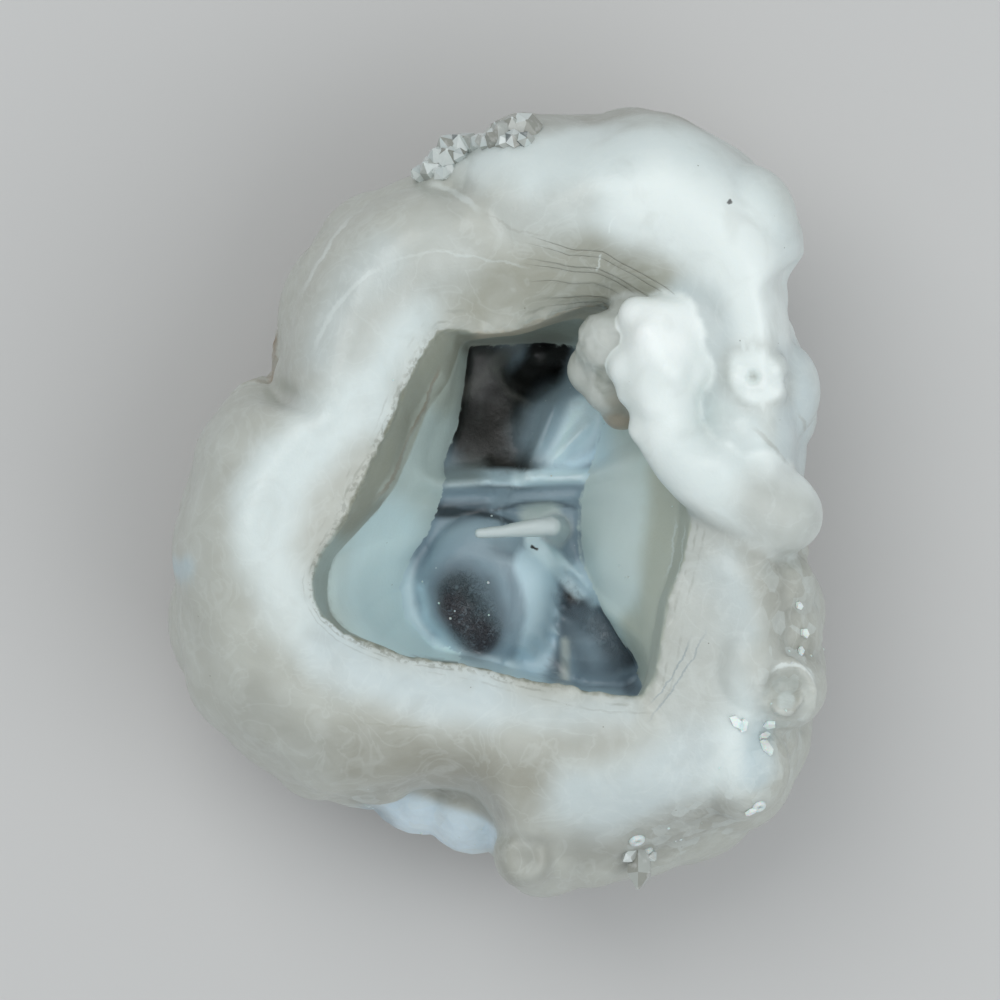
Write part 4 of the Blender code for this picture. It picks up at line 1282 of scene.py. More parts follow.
class Graph:
    """A material's node tree."""

    def __init__(self, name: str) -> None:
        """Starts a material whose Principled shader stands alone."""
        self.material = bpy.data.materials.new(name)
        self.material.use_nodes = True
        self.nodes = self.material.node_tree.nodes
        self.links = self.material.node_tree.links
        self.shader = self.nodes["Principled BSDF"]

    def add(self, kind: str, settings: dict | None = None, inputs: dict | None = None) -> bpy.types.Node:
        """Adds a node.

        Args:
            kind: the node's type.
            settings: its settings, which are set first.
            inputs: values or links for its sockets, by name or number.

        Returns:
            The node.
        """
        node = self.nodes.new(kind)
        for name, value in (settings or {}).items():
            setattr(node, name, value)
        for name, value in (inputs or {}).items():
            self.feed(node.inputs[name], value)
        return node

    def feed(self, socket: bpy.types.NodeSocket, value: object) -> None:
        """Sets or links a socket.

        Args:
            socket: the socket.
            value: a number, a colour, a socket or a Value.
        """
        source = value.source if isinstance(value, Value) else value
        if isinstance(source, bpy.types.NodeSocket):
            self.links.new(source, socket)
        elif isinstance(source, Tone):
            socket.default_value = (*source.linear, 1.0)
        elif isinstance(source, tuple) and len(source) == 3 and socket.type == "RGBA":
            socket.default_value = (*source, 1.0)
        else:
            socket.default_value = source

    def number(self, name: str) -> Value:
        """A number attribute of the mesh."""
        return Value(self, self.add("ShaderNodeAttribute", {"attribute_name": name}).outputs["Fac"])

    def colour(self, name: str) -> bpy.types.NodeSocket:
        """A colour attribute of the mesh."""
        return self.add("ShaderNodeAttribute", {"attribute_name": name}).outputs["Color"]

    def millimetres(self) -> bpy.types.NodeSocket:
        """The place on the piece, in millimetres."""
        place = self.add("ShaderNodeTexCoord").outputs["Object"]
        node = self.add("ShaderNodeVectorMath", {"operation": "SCALE"}, {0: place, "Scale": 1 / MM})
        return node.outputs[0]

    def moved(self, place: bpy.types.NodeSocket, by: float) -> bpy.types.NodeSocket:
        """A place moved along every axis, which gives another stretch of a pattern."""
        return self.add("ShaderNodeVectorMath", {"operation": "ADD"}, {0: place, 1: (by, by, by)}).outputs[0]

    def drawing(self, middle: tuple[float, float]) -> bpy.types.NodeSocket:
        """The drawn place in plan, in millimetres, wandering a little.

        Args:
            middle: the drawn place of the frame's origin.

        Returns:
            The place.
        """
        flat = self.add("ShaderNodeVectorMath", {"operation": "MULTIPLY"}, {0: self.millimetres(), 1: (1, 1, 0)})
        settings = {"Vector": flat.outputs[0], "Scale": 0.3, "Detail": 5.0, "Roughness": 0.65}
        bend = self.add("ShaderNodeTexNoise", None, settings).outputs[1]
        inputs = {0: bend, 1: (1.6, 1.6, 0), 2: (middle[0] - 0.8, middle[1] - 0.8, 0)}
        bend = self.add("ShaderNodeVectorMath", {"operation": "MULTIPLY_ADD"}, inputs).outputs[0]
        return self.add("ShaderNodeVectorMath", {"operation": "ADD"}, {0: flat.outputs[0], 1: bend}).outputs[0]

    def distance(self, place: bpy.types.NodeSocket, point: Place) -> Value:
        """How far a place is from a point in plan."""
        inputs = {0: place, 1: (*point, 0)}
        return Value(self, self.add("ShaderNodeVectorMath", {"operation": "DISTANCE"}, inputs).outputs["Value"])

    def noise(self, place: bpy.types.NodeSocket, width: float, detail: float = 3.0, bend: float = 0.0) -> Value:
        """Noise over a place.

        Args:
            place: the place.
            width: the width of a swell.
            detail: how many finer layers it has.
            bend: how much it is distorted.

        Returns:
            A value about 0.5.
        """
        inputs = {"Vector": place, "Scale": 1 / width, "Detail": detail, "Distortion": bend}
        return Value(self, self.add("ShaderNodeTexNoise", None, inputs).outputs[0])

    def cells(self, place: bpy.types.NodeSocket, width: float, feature: str = "F1") -> Value:
        """Cell distance over a place.

        Args:
            place: the place.
            width: the width of a cell.
            feature: which distance it gives.

        Returns:
            The distance, in cells.
        """
        node = self.add("ShaderNodeTexVoronoi", {"feature": feature}, {"Vector": place, "Scale": 1 / width})
        return Value(self, node.outputs["Distance"])

    def patches(self, place: bpy.types.NodeSocket, width: float) -> Value:
        """A random share for each cell over a place.

        Args:
            place: the place.
            width: the width of a cell.

        Returns:
            The share, from 0 to 1.
        """
        node = self.add("ShaderNodeTexVoronoi", None, {"Vector": place, "Scale": 1 / width})
        return Value(self, self.add("ShaderNodeSeparateColor", None, {"Color": node.outputs["Color"]}).outputs[0])

    def mix(self, share: "Value | float", under: object, over: object, blend: str = "MIX") -> bpy.types.NodeSocket:
        """Mixes two colours.

        Args:
            share: how much of the second one there is.
            under: the first.
            over: the second.
            blend: how they mix.

        Returns:
            The colour.
        """
        settings = {"data_type": "RGBA", "blend_type": blend, "clamp_factor": True}
        node = self.nodes.new("ShaderNodeMix")
        for name, value in settings.items():
            setattr(node, name, value)
        self.feed(node.inputs[0], share)
        self.feed(node.inputs[6], under)
        self.feed(node.inputs[7], over)
        return node.outputs[2]


@dataclass(frozen=True)
class Vein:
    """A thin line in the skin: an arc in plan through three points."""

    tone: Tone
    start: Place
    middle: Place
    end: Place
    half_width: float
    strength: float

    def circle(self) -> tuple[Place, float]:
        """The centre and the radius of the vein's arc."""
        a, b, c = (Vector(point) for point in (self.start, self.middle, self.end))
        ab, ac = b - a, c - a
        twice_area = 2 * (ab.x * ac.y - ab.y * ac.x)
        x = (ac.y * ab.length_squared - ab.y * ac.length_squared) / twice_area
        y = (ab.x * ac.length_squared - ac.x * ab.length_squared) / twice_area
        return (a.x + x, a.y + y), math.hypot(x, y)


VEINS: tuple[Vein, ...] = (
    # On the upper left lobe.
    Vein(Tone.WHITE, (-19.9, 19.9), (-17.0, 25.4), (-12.6, 30.3), 0.20, 0.55),
    Vein(Tone.PEARL, (-20.9, 15.5), (-20.2, 20.5), (-16.4, 26.6), 0.30, 0.45),
    Vein(Tone.WHITE, (-18.7, 14.3), (-16.0, 19.6), (-11.4, 23.3), 0.22, 0.32),
    Vein(Tone.WHITE, (-11.4, 23.3), (-7.0, 24.5), (-2.2, 24.2), 0.14, 0.15),
    Vein(Tone.PEARL, (-22.4, 10.7), (-21.1, 12.9), (-19.4, 14.2), 0.20, 0.5),
    # The near edge of the top lobe, where it laps over the upper left one.
    Vein(Tone.WHITE, (-10.8, 32.1), (-6.0, 31.2), (-1.9, 28.6), 0.32, 0.5),
    # The terraces' lines, running on to the left.
    Vein(Tone.MILK, (-6.0, 24.6), (-1.4, 23.9), (3.0, 22.9), 0.12, 0.25),
    Vein(Tone.DULL_SKIN, (-1.6, 28.4), (1.2, 27.0), (5.0, 26.2), 0.12, 0.4),
    # A black fibre on the floor and a dark speck on the top lobe.
    Vein(Tone.HOLE, (3.1, -4.55), (3.5, -4.8), (3.95, -5.0), 0.2, 1.0),
    Vein(Tone.BROWN, (22.5, 29.5), (22.75, 29.65), (22.9, 29.9), 0.2, 0.9),
    # A crack across the terraces' corner.
    Vein(Tone.WHITE, (11.6, 28.4), (11.0, 27.4), (10.8, 26.2), 0.09, 0.6),
    Vein(Tone.WHITE, (10.3, 24.6), (9.85, 23.7), (9.7, 22.7), 0.09, 0.5),
    # Growth lines along the right wall's lip.
    Vein(Tone.MILK, (17.6, -1.6), (17.3, -4.8), (16.4, -8.0), 0.10, 0.5),
    Vein(Tone.MILK, (18.4, -2.4), (18.2, -5.4), (17.2, -8.8), 0.08, 0.45),
    Vein(Tone.PEARL, (19.2, -4.0), (18.5, -8.4), (17.0, -12.6), 0.14, 0.4),
    # Two lines beside the lip's lower right corner.
    Vein(Tone.MID_BLUE, (19.2, -13.4), (17.3, -17.3), (14.6, -20.7), 0.08, 0.5),
    Vein(Tone.MID_BLUE, (20.4, -12.8), (18.0, -17.8), (14.4, -22.2), 0.10, 0.45),
    # Beside the lip's lower left edge.
    Vein(Tone.BEIGE, (-14, -22.0), (-10.5, -22.6), (-7, -22.6), 0.10, 0.5),
    # The cracks along the left wall.
    Vein(Tone.RUST, (-5.8, 13.8), (-7.4, 9.9), (-9.0, 6.4), 0.18, 0.6),
    Vein(Tone.RUST, (-9.0, 6.4), (-10.3, 3.1), (-12.6, -0.2), 0.16, 0.5),
    Vein(Tone.PALE_WALL, (-6.4, 12.0), (-8.2, 7.8), (-10.2, 2.8), 0.12, 0.35),
    # The crater's bright edge, and the creases of the fan lobe.
    Vein(Tone.WHITE, (26.2, -18.0), (29.4, -16.3), (31.2, -20.2), 0.22, 0.6),
    Vein(Tone.DULL_SKIN, (25.1, 7.1), (27.5, 4.9), (29.6, 2.2), 0.22, 0.45),
    Vein(Tone.DULL_SKIN, (29.7, 8.6), (30.4, 6.6), (29.6, 3.9), 0.16, 0.45),
)


@dataclass(frozen=True)
class Chalcedony:
    """The stone's finish: milky and waxy, its zones' tones under fine growth lines, mottling, druse and specks."""

    levels: tuple[float, ...]
    middle: tuple[float, float]
    veins: tuple[Vein, ...] = VEINS
    roughness: float = 0.34
    ior: float = 1.54
    specular: float = 0.38
    subsurface: float = 0.35
    subsurface_scale: float = 0.0022
    subsurface_radius: tuple[float, float, float] = (1.0, 0.95, 0.88)

    def make(self) -> bpy.types.Material:
        """Makes the material."""
        graph = Graph("chalcedony_skin")
        place = graph.millimetres()
        across = graph.number("across")
        grown = graph.number("grown")
        frost = graph.number("frost")
        wobble = (graph.noise(place, 0.9, 3.0) - 0.5) * 0.10
        edge = across + wobble
        tint = graph.mix(edge.step(1.97, 2.03), graph.colour("rim_tint"), graph.colour("band_tint"))
        tint = graph.mix(edge.step(2.95, 3.05), tint, graph.colour("wall_tint"))
        tint = graph.mix(edge.step(3.98, 4.02), tint, graph.colour("floor_tint"))
        growth_tint = graph.mix(graph.number("hanging").step(-0.15, 0.25), graph.colour("growth_tint"), graph.colour("hanging_tint"))
        grown = (grown + wobble * 4).step(1.0, 0.2)
        tint = graph.mix(grown, tint, growth_tint)
        crust = (graph.number("crust") + (graph.noise(place, 1.5) - 0.5) * 0.6).step(0.25, 0.75)
        crust_tint = graph.mix(graph.noise(place, 2.2, 5.0).step(0.42, 0.66), Tone.CRUST, Tone.RUST)
        tint = graph.mix(crust * 0.85, tint, crust_tint)
        lines = self._lines(graph, place) * (1 - grown)
        tint = graph.mix(lines * 0.55, tint, Tone.DEEP_OLIVE)
        drawn = graph.drawing(self.middle)
        left = graph.distance(drawn, (-14.0, -6.0)).step(26.0, 20.0)
        fray = across.step(1.86, 1.95) * across.step(2.12, 2.04) * (1 - grown)
        fray = fray * graph.noise(place, 0.5, 4.0).step(0.5, 0.58) * left
        tint = graph.mix(fray * 0.45, tint, Tone.OLIVE)
        for at, strength in ((1.90, 0.32), (1.79, 0.2)):
            line = (across + wobble * 0.6 - at).size().step(0.024, 0.006)
            worn = graph.noise(graph.moved(place, 30 * at), 2.6, 2.0).step(0.44, 0.6)
            tint = graph.mix(line * worn * (1 - grown) * strength, tint, Tone.OLIVE)
        tint = self._vein(graph, tint, (1 - grown) * across.step(0.12, 0.4))
        on_rim = across.step(2.3, 1.9)
        mottle = graph.noise(place, 3.4, 4.0, 0.8).step(0.35, 0.7)
        tint = graph.mix(mottle * (on_rim * 0.09 + 0.03), tint, Tone.WHITE)
        shade = graph.noise(graph.moved(place, 40.0), 4.6, 4.0, 0.8).step(0.45, 0.75)
        tint = graph.mix(shade * on_rim * 0.16, tint, Tone.DULL_SKIN)
        cloud = graph.noise(graph.moved(place, 80.0), 5.0, 3.0, 1.4)
        wisp = cloud.step(0.46, 0.5) * cloud.step(0.54, 0.5)
        tint = graph.mix(wisp * on_rim * 0.10, tint, Tone.WHITE)
        flake = graph.patches(graph.moved(place, 60.0), 1.7).step(0.45, 1.0)
        tint = graph.mix(flake * frost * on_rim * 0.30, tint, Tone.MILK)
        scratch = (graph.noise(place, 0.8, 2.0, 1.2) - 0.5).size().step(0.07, 0.02)
        scratch = scratch * graph.noise(graph.moved(place, 10.0), 1.2, 2.0).step(0.48, 0.58) * graph.number("drusy")
        tint = graph.mix(scratch * 0.36, tint, Tone.MID_BLUE)
        speck = graph.cells(place, 3.3).step(0.032, 0.02)
        tint = graph.mix(speck * 0.6, tint, Tone.DEEP_OLIVE)
        # Painted glints: white specks in the hollow, where druse grains catch the light.
        sparkle = graph.cells(graph.moved(place, 20.0), 1.9).step(0.05, 0.035) * across.step(3.1, 3.8)
        tint = graph.mix(sparkle * 0.4, tint, Tone.WHITE)
        graph.feed(graph.shader.inputs["Base Color"], tint)
        rough = graph.noise(place, 0.7, 4.0)
        roughness = self.roughness + (rough - 0.5) * 0.16 + frost * 0.16
        graph.feed(graph.shader.inputs["Roughness"], roughness)
        height = self._height(graph, place, lines, (frost, graph.number("drusy")), crust)
        bump = graph.add("ShaderNodeBump", None, {"Strength": 1.0, "Distance": MM, "Height": height})
        graph.feed(graph.shader.inputs["Normal"], bump.outputs[0])
        for name, value in {
            "IOR": self.ior, "Specular IOR Level": self.specular, "Subsurface Weight": self.subsurface, "Subsurface Scale": self.subsurface_scale,
            "Subsurface Radius": self.subsurface_radius,
        }.items():
            graph.shader.inputs[name].default_value = value
        return graph.material

    def _vein(self, graph: Graph, tint: bpy.types.NodeSocket, bare: Value) -> bpy.types.NodeSocket:
        """Draws the veins.

        Args:
            graph: the material's graph.
            tint: the colour under them.
            bare: where they may be.

        Returns:
            The colour with them.
        """
        drawn = graph.drawing(self.middle)
        for vein in self.veins:
            centre, radius = vein.circle()
            reach = math.dist(vein.start, vein.end) / 2
            d = (graph.distance(drawn, centre) - radius).size()
            near = graph.distance(drawn, vein.middle).step(reach * 1.1, reach * 0.6)
            line = d.step(vein.half_width * 1.5, vein.half_width * 0.4)
            tint = graph.mix(line * near * bare * vein.strength, tint, vein.tone)
        return tint

    def _lines(self, graph: Graph, place: bpy.types.NodeSocket) -> Value:
        """The growth lines of the upper wall.

        Args:
            graph: the material's graph.
            place: the place in millimetres.

        Returns:
            How much of a line there is.
        """
        level = graph.number("terrace") + (graph.noise(place, 3.0, 2.0) - 0.5) * 0.05
        total: Value | None = None
        for number, at in enumerate(self.levels):
            width = 0.012 + 0.006 * (number % 3)
            line = level.step(at - width, at) * level.step(at + width * 0.6, at)
            total = line if total is None else total + line
        return total * graph.number("terraced")

    def _height(
        self, graph: Graph, place: bpy.types.NodeSocket, lines: Value, rough: tuple[Value, Value], crust: Value
    ) -> Value:
        """The relief that is finer than the mesh, in millimetres.

        Args:
            graph: the material's graph.
            place: the place in millimetres.
            lines: how much of a growth line there is.
            rough: how frosted with druse it is, on the rim and on the floor.
            crust: how much of the outer crust there is.

        Returns:
            The height.
        """
        frost, drusy = rough
        waxy = (graph.noise(place, 1.3, 4.0) - 0.5) * 0.05
        grain = (graph.noise(place, 0.28, 3.0) - 0.5) * 0.018
        facets = graph.cells(graph.moved(place, 60.0), 1.7) * 0.16 + graph.cells(place, 0.6) * 0.04
        scratches = (graph.noise(place, 0.5, 3.0, 1.5) - 0.5).size().step(0.06, 0.0)
        druse = facets * frost + scratches * drusy * 0.06
        rock = graph.noise(place, 0.8, 6.0) * crust * 0.30
        return waxy + grain + druse + rock - lines * 0.06


@dataclass(frozen=True)
class ClearQuartz:
    """Clear quartz, seen through."""

    roughness: float = 0.06
    ior: float = 1.54
    tint: tuple[float, float, float] = (0.97, 0.98, 0.98)
    transmission: float = 0.25

    def make(self) -> bpy.types.Material:
        """Makes the material."""
        graph = Graph("clear_quartz")
        place = graph.millimetres()
        cloud = graph.noise(place, 0.8).step(0.5, 0.75) * 0.3
        # The base colour carries the facets' painted light.
        graph.feed(graph.shader.inputs["Base Color"], graph.mix(cloud, graph.colour("facet_tint"), self.tint))
        graph.feed(graph.shader.inputs["Roughness"], self.roughness + graph.noise(place, 0.5).step(0.5, 0.8) * 0.22)
        graph.shader.inputs["Transmission Weight"].default_value = self.transmission
        graph.shader.inputs["IOR"].default_value = self.ior
        return graph.material


@dataclass(frozen=True)
class Sparkle:
    """Milky druse grains."""

    tone: Tone = Tone.MILK
    roughness: float = 0.3

    def make(self) -> bpy.types.Material:
        """Makes the material."""
        graph = Graph("druse_" + self.tone.name.lower())
        place = graph.millimetres()
        tone = graph.mix(graph.noise(place, 2.0).step(0.45, 0.7) * 0.6, self.tone, Tone.PEARL)
        graph.feed(graph.shader.inputs["Base Color"], tone)
        graph.feed(graph.shader.inputs["Roughness"], self.roughness + graph.noise(place, 0.6) * 0.2)
        for name, value in {"IOR": 1.54, "Subsurface Weight": 0.3, "Subsurface Scale": 0.0008}.items():
            graph.shader.inputs[name].default_value = value
        return graph.material


@dataclass
class Crystals:
    """Small crystals grown on the skin: clear quartz points in clusters, and a druse of tiny grains."""

    # Each point is (x, y, width, length, lean along x, lean along y).
    points: Places = (
        (-7.8, 32.8, 1.8, 1.9, -0.8, 0.5), (-7.0, 33.1, 2.1, 2.2, -0.4, 0.6), (-6.3, 33.6, 2.6, 2.5, -0.7, 0.2),
        (-5.8, 34.3, 2.6, 2.5, -0.5, 0.5), (-5.9, 33.2, 2.1, 2.0, 0.1, -0.3), (-5.2, 34.4, 2.7, 2.5, -0.1, 0.3),
        (-4.9, 35.3, 2.6, 2.4, -0.6, 0.7), (-4.1, 35.5, 2.6, 2.4, 0.0, 0.5), (-5.3, 33.7, 2.0, 1.9, 0.3, -0.4),
        (-3.2, 35.7, 2.5, 2.3, -0.2, 0.5), (-2.3, 35.8, 2.3, 2.1, 0.3, 0.4), (-4.4, 34.7, 1.9, 1.8, 0.4, 0.1),
        (-1.4, 36.0, 2.0, 1.7, -0.3, 0.4), (-0.5, 36.3, 2.3, 1.8, 0.2, 0.5), (0.4, 36.9, 2.5, 1.8, -0.4, 0.5),
        (0.5, 36.0, 2.1, 1.5, 0.3, 0.1), (1.5, 36.2, 2.2, 1.4, -0.1, 0.3), (1.4, 37.4, 2.6, 1.8, 0.0, 0.7),
        (2.6, 37.5, 3.3, 1.7, 0.2, 0.4), (2.4, 36.2, 2.0, 1.3, 0.3, 0.2), (0.0, 37.2, 1.9, 1.6, -0.5, 0.7),
        (14.2, -36.2, 2.9, 3.7, 0.0, -3.0), (13.4, -35.8, 1.3, 1.5, -0.8, -0.9), (15.1, -35.8, 1.3, 1.4, 0.8, -0.7),
    )
    # White flakes that lie on the skin, as (x, y, width, length, turn).
    flakes: Places = (
        (24.1, -22.1, 1.0, 1.9, 1.2), (24.9, -22.8, 0.9, 1.5, 0.2), (27.4, -22.8, 1.0, 1.4, 0.5),
        (26.9, -23.6, 0.7, 1.5, 1.3), (27.1, -24.9, 1.0, 1.9, 0.0), (25.6, -31.5, 0.6, 1.3, 0.3),
        (31.0, -13.2, 0.8, 1.1, 0.6), (30.4, -10.8, 0.7, 0.9, 1.3), (30.6, -15.2, 0.6, 1.2, 2.0),
    )
    # Ringed buds and plain ones on the skin, as (x, y, ring's radius or 0, thickness).
    buds: Places = (
        (13.9, -34.7, 0.5, 0.34), (26.3, -31.2, 0.42, 0.3), (15.2, -35.8, 0.0, 0.48),
    )
    # Bright grains on the floor and walls, as (x, y, radius).
    glints: Places = (
        (-1.0, -8.5, 0.15), (-1.7, -11.7, 0.12), (-5.1, -12.4, 0.14), (-8.2, -8.1, 0.12), (-6.1, -10.7, 0.12),
        (-0.7, -1.4, 0.13), (-4.2, -11.2, 0.1), (13.0, -7.6, 0.12), (11.9, -6.9, 0.1), (17.6, -0.6, 0.1),
        (5.4, 2.8, 0.1), (-10.8, 12.0, 0.1), (12.6, -7.9, 0.1),
    )
    grains: int = 80
    grain_size: tuple[float, float] = (0.08, 0.2)
    seed: int = 11

    def build_points(self, stone: Stone, skin: bpy.types.Object) -> bpy.types.Object:
        """Adds the clear points.

        Args:
            stone: the stone that they grow on.
            skin: its finished mesh.

        Returns:
            The points, joined, in metres in the frame.
        """
        model = self._model_point()
        drawn = stone.to_drawing(vectors_of(skin.data))
        made = []
        for number, (x, y, width, length, lean_x, lean_y) in enumerate(self.points):
            z = float(drawn[self._perch(x, y, drawn), 2]) - 0.5
            turn = Vector((lean_x, lean_y, 0.75)).to_track_quat("Z", "Y").to_matrix().to_4x4()
            spin = Matrix.Rotation(0.7 * number, 4, "Z")
            size = Matrix.Diagonal((width / 2, width / 2.3, length, 1))
            point = model.copy()
            point.data = model.data.copy()
            point.data.transform(Matrix.Translation((x, y, z)) @ turn @ spin @ size)
            bpy.context.collection.objects.link(point)
            made.append(point)
        bpy.data.objects.remove(model)
        points = join(made, "quartz_points")
        self._paint_facet_light(points.data)
        place_vertices(points.data, stone.to_frame(vectors_of(points.data)))
        return points

    def _paint_facet_light(self, mesh: bpy.types.Mesh) -> None:
        """Gives each facet a tone of its own, partly painted light: bright at the left of the top lobe, greyer
        elsewhere.

        Args:
            mesh: the points' mesh, in millimetres.
        """
        # Painted light: a random tone per facet, brighter or greyer as if each flat facet caught the lights or not.
        chance = np.random.default_rng(self.seed)
        named = (Tone.WHITE, Tone.MILK, Tone.PEARL, Tone.DULL_SKIN, Tone.GREY)
        tones = np.array([[*tone.linear, 1.0] for tone in named])
        bright, grey = (0.46, 0.28, 0.18, 0.06, 0.02), (0.16, 0.2, 0.32, 0.28, 0.04)
        rows = []
        for face in mesh.polygons:
            share = bright if face.center.x < -1.6 else grey
            rows += [tones[chance.choice(len(tones), p=share)]] * face.loop_total
        attribute = mesh.color_attributes.new(name="facet_tint", type="FLOAT_COLOR", domain="CORNER")
        attribute.data.foreach_set("color", np.array(rows, np.float32).ravel())

    def _model_point(self) -> bpy.types.Object:
        """A six-sided point of length 1, its tip off its middle."""
        bpy.ops.object.select_all(action="DESELECT")
        bpy.ops.mesh.primitive_cylinder_add(vertices=6, radius=1, depth=0.7, location=(0, 0, 0.15))
        point = bpy.context.active_object
        bpy.ops.object.transform_apply(location=True)
        bpy.ops.object.mode_set(mode="EDIT")
        bpy.ops.mesh.select_all(action="DESELECT")
        bpy.ops.object.mode_set(mode="OBJECT")
        for face in point.data.polygons:
            face.select = face.normal.z > 0.9
        bpy.ops.object.mode_set(mode="EDIT")
        bpy.ops.mesh.extrude_region_move(TRANSFORM_OT_translate={"value": (0.12, 0.06, 0.42)})
        bpy.ops.transform.resize(value=(0.12, 0.12, 1), center_override=(0.12, 0.06, 0.9))
        bpy.ops.mesh.select_all(action="DESELECT")
        bpy.ops.object.mode_set(mode="OBJECT")
        return point

    def build_grains(self, stone: Stone, skin: bpy.types.Object) -> bpy.types.Object:
        """Scatters the druse over the frosted skin.

        Args:
            stone: the stone.
            skin: its finished mesh.

        Returns:
            The grains, joined, in metres in the frame.
        """
        chance = np.random.default_rng(self.seed)
        places, normals = vectors_of(skin.data), vectors_of(skin.data, "normal")
        drawn = stone.to_drawing(places)
        frost = stone.frost(drawn, stone.shell.across(drawn)) * (drawn[:, 2] > 14)
        chosen = chance.choice(len(places), self.grains, replace=False, p=frost / frost.sum())
        bpy.ops.object.select_all(action="DESELECT")
        bpy.ops.mesh.primitive_ico_sphere_add(subdivisions=1, radius=1)
        model = bpy.context.active_object
        made = []
        for index in chosen:
            size = chance.uniform(*self.grain_size) * MM
            shape = Matrix.Diagonal((size, size * chance.uniform(0.5, 1.0), size * chance.uniform(0.6, 1.2), 1))
            turn = Vector(normals[index] + chance.normal(0, 0.3, 3)).to_track_quat("Z", "Y").to_matrix().to_4x4()
            grain = model.copy()
            grain.data = model.data.copy()
            grain.data.transform(Matrix.Translation(places[index] - normals[index] * size * 0.3) @ turn @ shape)
            bpy.context.collection.objects.link(grain)
            made.append(grain)
        bpy.data.objects.remove(model)
        made += self._build_buds(drawn, places, normals)
        return join(made, "druse")

    def _perch(self, x: float, y: float, drawn: np.ndarray) -> int:
        """The skin's vertex that is seen from above at a drawn place.

        Args:
            x: the place's x.
            y: the place's y.
            drawn: the drawn places of the skin's vertices.

        Returns:
            The vertex's number.
        """
        away = np.hypot(drawn[:, 0] - x, drawn[:, 1] - y)
        near = np.flatnonzero(away < max(0.4, away.min() * 1.01))
        return int(near[np.argmax(drawn[near, 2])])

    def build_flakes(self, stone: Stone, skin: bpy.types.Object) -> bpy.types.Object:
        """Adds the white flakes, as thin slabs that lie on the skin.

        Args:
            stone: the stone.
            skin: its finished mesh.

        Returns:
            The flakes, joined, in metres in the frame.
        """
        places, normals = vectors_of(skin.data), vectors_of(skin.data, "normal")
        drawn = stone.to_drawing(places)
        made = []
        for x, y, width, length, turn in self.flakes:
            index = self._perch(x, y, drawn)
            bpy.ops.mesh.primitive_cylinder_add(vertices=5, radius=0.5, depth=0.5)
            flake = bpy.context.active_object
            lie = Vector(normals[index]).to_track_quat("Z", "Y").to_matrix().to_4x4()
            size = Matrix.Diagonal((length * MM, width * MM, 0.8 * MM, 1))
            place = places[index] + normals[index] * 0.24 * MM
            flake.data.transform(Matrix.Translation(place) @ lie @ Matrix.Rotation(turn, 4, "Z") @ size)
            made.append(flake)
        return join(made, "white_flakes")

    def _build_buds(self, drawn: np.ndarray, places: np.ndarray, normals: np.ndarray) -> list[bpy.types.Object]:
        """Adds the buds and the bright grains.

        Args:
            drawn: the drawn places of the skin's vertices.
            places: their places in the frame.
            normals: their normals.

        Returns:
            The buds and the grains.
        """
        made = []
        for x, y, ring, thickness in (*self.buds, *((x, y, 0.0, radius) for x, y, radius in self.glints)):
            index = self._perch(x, y, drawn)
            if ring:
                radii = {"major_radius": ring * MM, "minor_radius": thickness * MM}
                bpy.ops.mesh.primitive_torus_add(major_segments=20, minor_segments=10, **radii)
            else:
                bpy.ops.mesh.primitive_ico_sphere_add(subdivisions=2, radius=thickness * MM)
            bud = bpy.context.active_object
            lie = Vector(normals[index]).to_track_quat("Z", "Y").to_matrix().to_4x4()
            bud.data.transform(Matrix.Translation(places[index]) @ lie)
            made.append(bud)
        return made

    def dress(self, piece: bpy.types.Object, finish: ClearQuartz | Sparkle) -> None:
        """Gives a piece its finish and ties it to the frame.

        Args:
            piece: the piece.
            finish: its finish.
        """
        piece.data.materials.clear()
        piece.data.materials.append(finish.make())
        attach(piece, BODY)


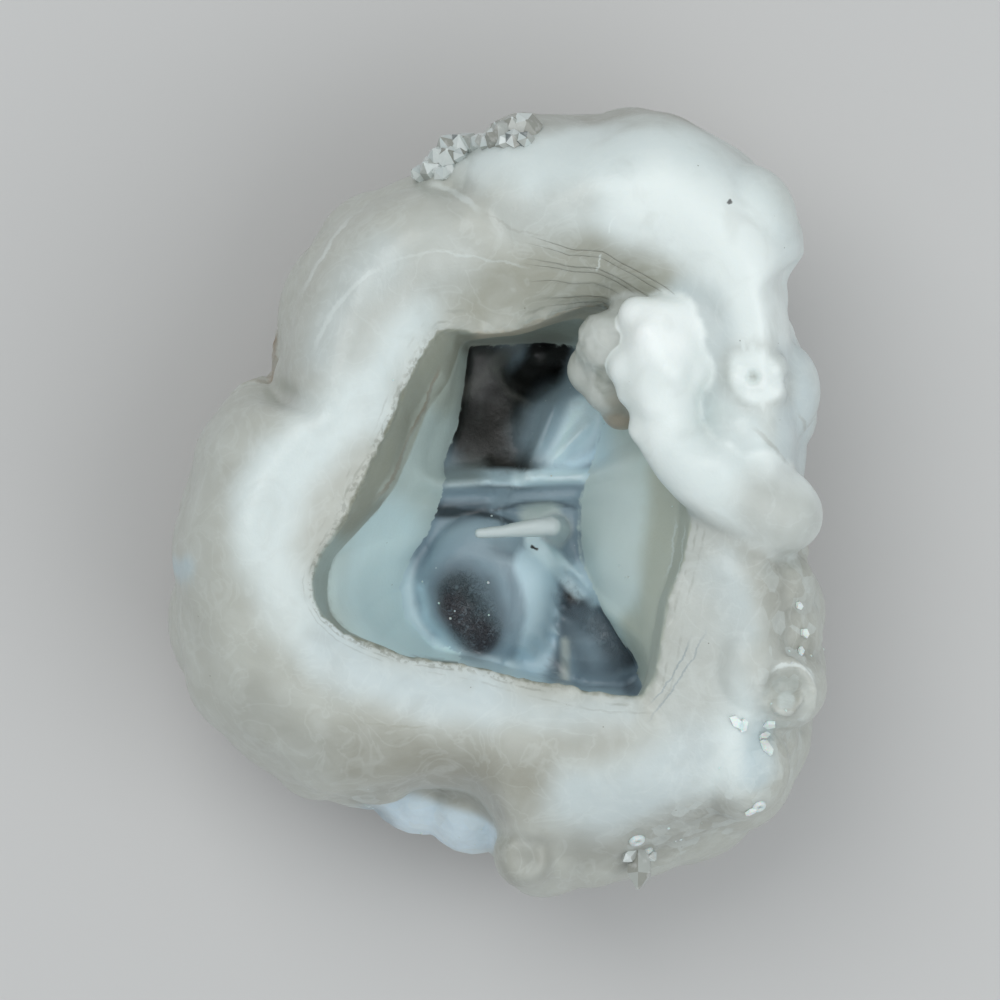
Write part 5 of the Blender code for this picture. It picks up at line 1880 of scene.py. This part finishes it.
@dataclass
class Studio:
    """The pale floor, the soft lights and the camera over the stone."""

    camera_height: float = 1.5
    focus_height: float = 0.027
    view_width: float = 0.1
    floor_size: float = 3.0
    floor_tone: tuple[float, float, float] = (0.56, 0.56, 0.555)
    world_strength: float = 0.58

    def build(self, centre: tuple[float, float]) -> None:
        """Adds the floor, lights and camera.

        Args:
            centre: the place in the frame that the camera looks down on.
        """
        bpy.ops.object.select_all(action="DESELECT")
        bpy.ops.mesh.primitive_plane_add(size=self.floor_size, location=(0, 0, 0))
        floor = bpy.context.active_object
        floor.name = "floor"
        graph = Graph("floor_paper")
        place = graph.millimetres()
        tone = graph.mix(graph.noise(place, 60.0, 2.0) * 0.1, self.floor_tone, (0.50, 0.50, 0.50))
        graph.feed(graph.shader.inputs["Base Color"], tone)
        graph.feed(graph.shader.inputs["Roughness"], 0.8)
        floor.data.materials.append(graph.material)
        floor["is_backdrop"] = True
        world = bpy.data.worlds.new("studio")
        world.use_nodes = True
        background = world.node_tree.nodes["Background"]
        background.inputs["Color"].default_value = (0.93, 0.97, 1.0, 1.0)
        background.inputs["Strength"].default_value = self.world_strength
        bpy.context.scene.world = world
        self._light("key", (-0.25, 0.35, 0.9), 0.6, 2.9, (1.0, 0.99, 0.97))
        self._light("fill", (0.45, -0.25, 0.75), 0.7, 2.4, (0.97, 0.99, 1.0))
        bpy.context.scene.view_settings.view_transform = "Standard"
        self._camera(centre)

    def _light(self, name: str, place: Place, size: float, power: float, tone: Place) -> None:
        """Adds a soft light that shines at the stone.

        Args:
            name: its name.
            place: where it hangs.
            size: its side.
            power: its power in watts.
            tone: its colour.
        """
        bpy.ops.object.light_add(type="AREA", location=place)
        light = bpy.context.active_object
        light.name = name
        light.data.size = size
        light.data.energy = power
        light.data.color = tone
        light.rotation_euler = Vector(place).to_track_quat("Z", "Y").to_euler()

    def _camera(self, centre: tuple[float, float]) -> None:
        """Adds the camera, which looks straight down with the drawing's top at the picture's top.

        Args:
            centre: the place in the frame under the camera.
        """
        bpy.ops.object.camera_add(location=(*centre, self.camera_height), rotation=(0, 0, 0))
        camera = bpy.context.active_object
        camera.name = "camera"
        camera.data.sensor_fit = "HORIZONTAL"
        camera.data.angle = 2 * math.atan(self.view_width / 2 / (self.camera_height - self.focus_height))
        bpy.context.scene.camera = camera


def write_sizes(packed: tuple[Vector, Vector]) -> None:
    """Args:
        packed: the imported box's corners.
    """
    boxes = {"cad": packed, "visual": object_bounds()}
    {name: [list(corner) for corner in corners] for name, corners in boxes.items()}


def main() -> None:
    """Builds and dresses the stone and its studio."""
    logging.basicConfig(level=logging.INFO, format="%(message)s")
    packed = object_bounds()
    stone = Stone()
    skin = stone.build()
    stone.dress(skin, Chalcedony(stone.terrace_levels, (float(stone.middle[0]), float(stone.middle[1]))))
    crystals = Crystals()
    points = crystals.build_points(stone, skin)
    crystals.dress(points, ClearQuartz())
    grains = crystals.build_grains(stone, skin)
    crystals.dress(grains, Sparkle())
    flakes = crystals.build_flakes(stone, skin)
    crystals.dress(flakes, Sparkle(Tone.WHITE))
    for piece in (skin, points, grains, flakes):
        log.info("%s: %d faces", piece.name, len(piece.data.polygons))
    under_camera = stone.to_frame(np.zeros((1, 3)))[0]
    Studio().build((float(under_camera[0]), float(under_camera[1])))
    write_sizes(packed)


if __name__ == "__main__":
    main()
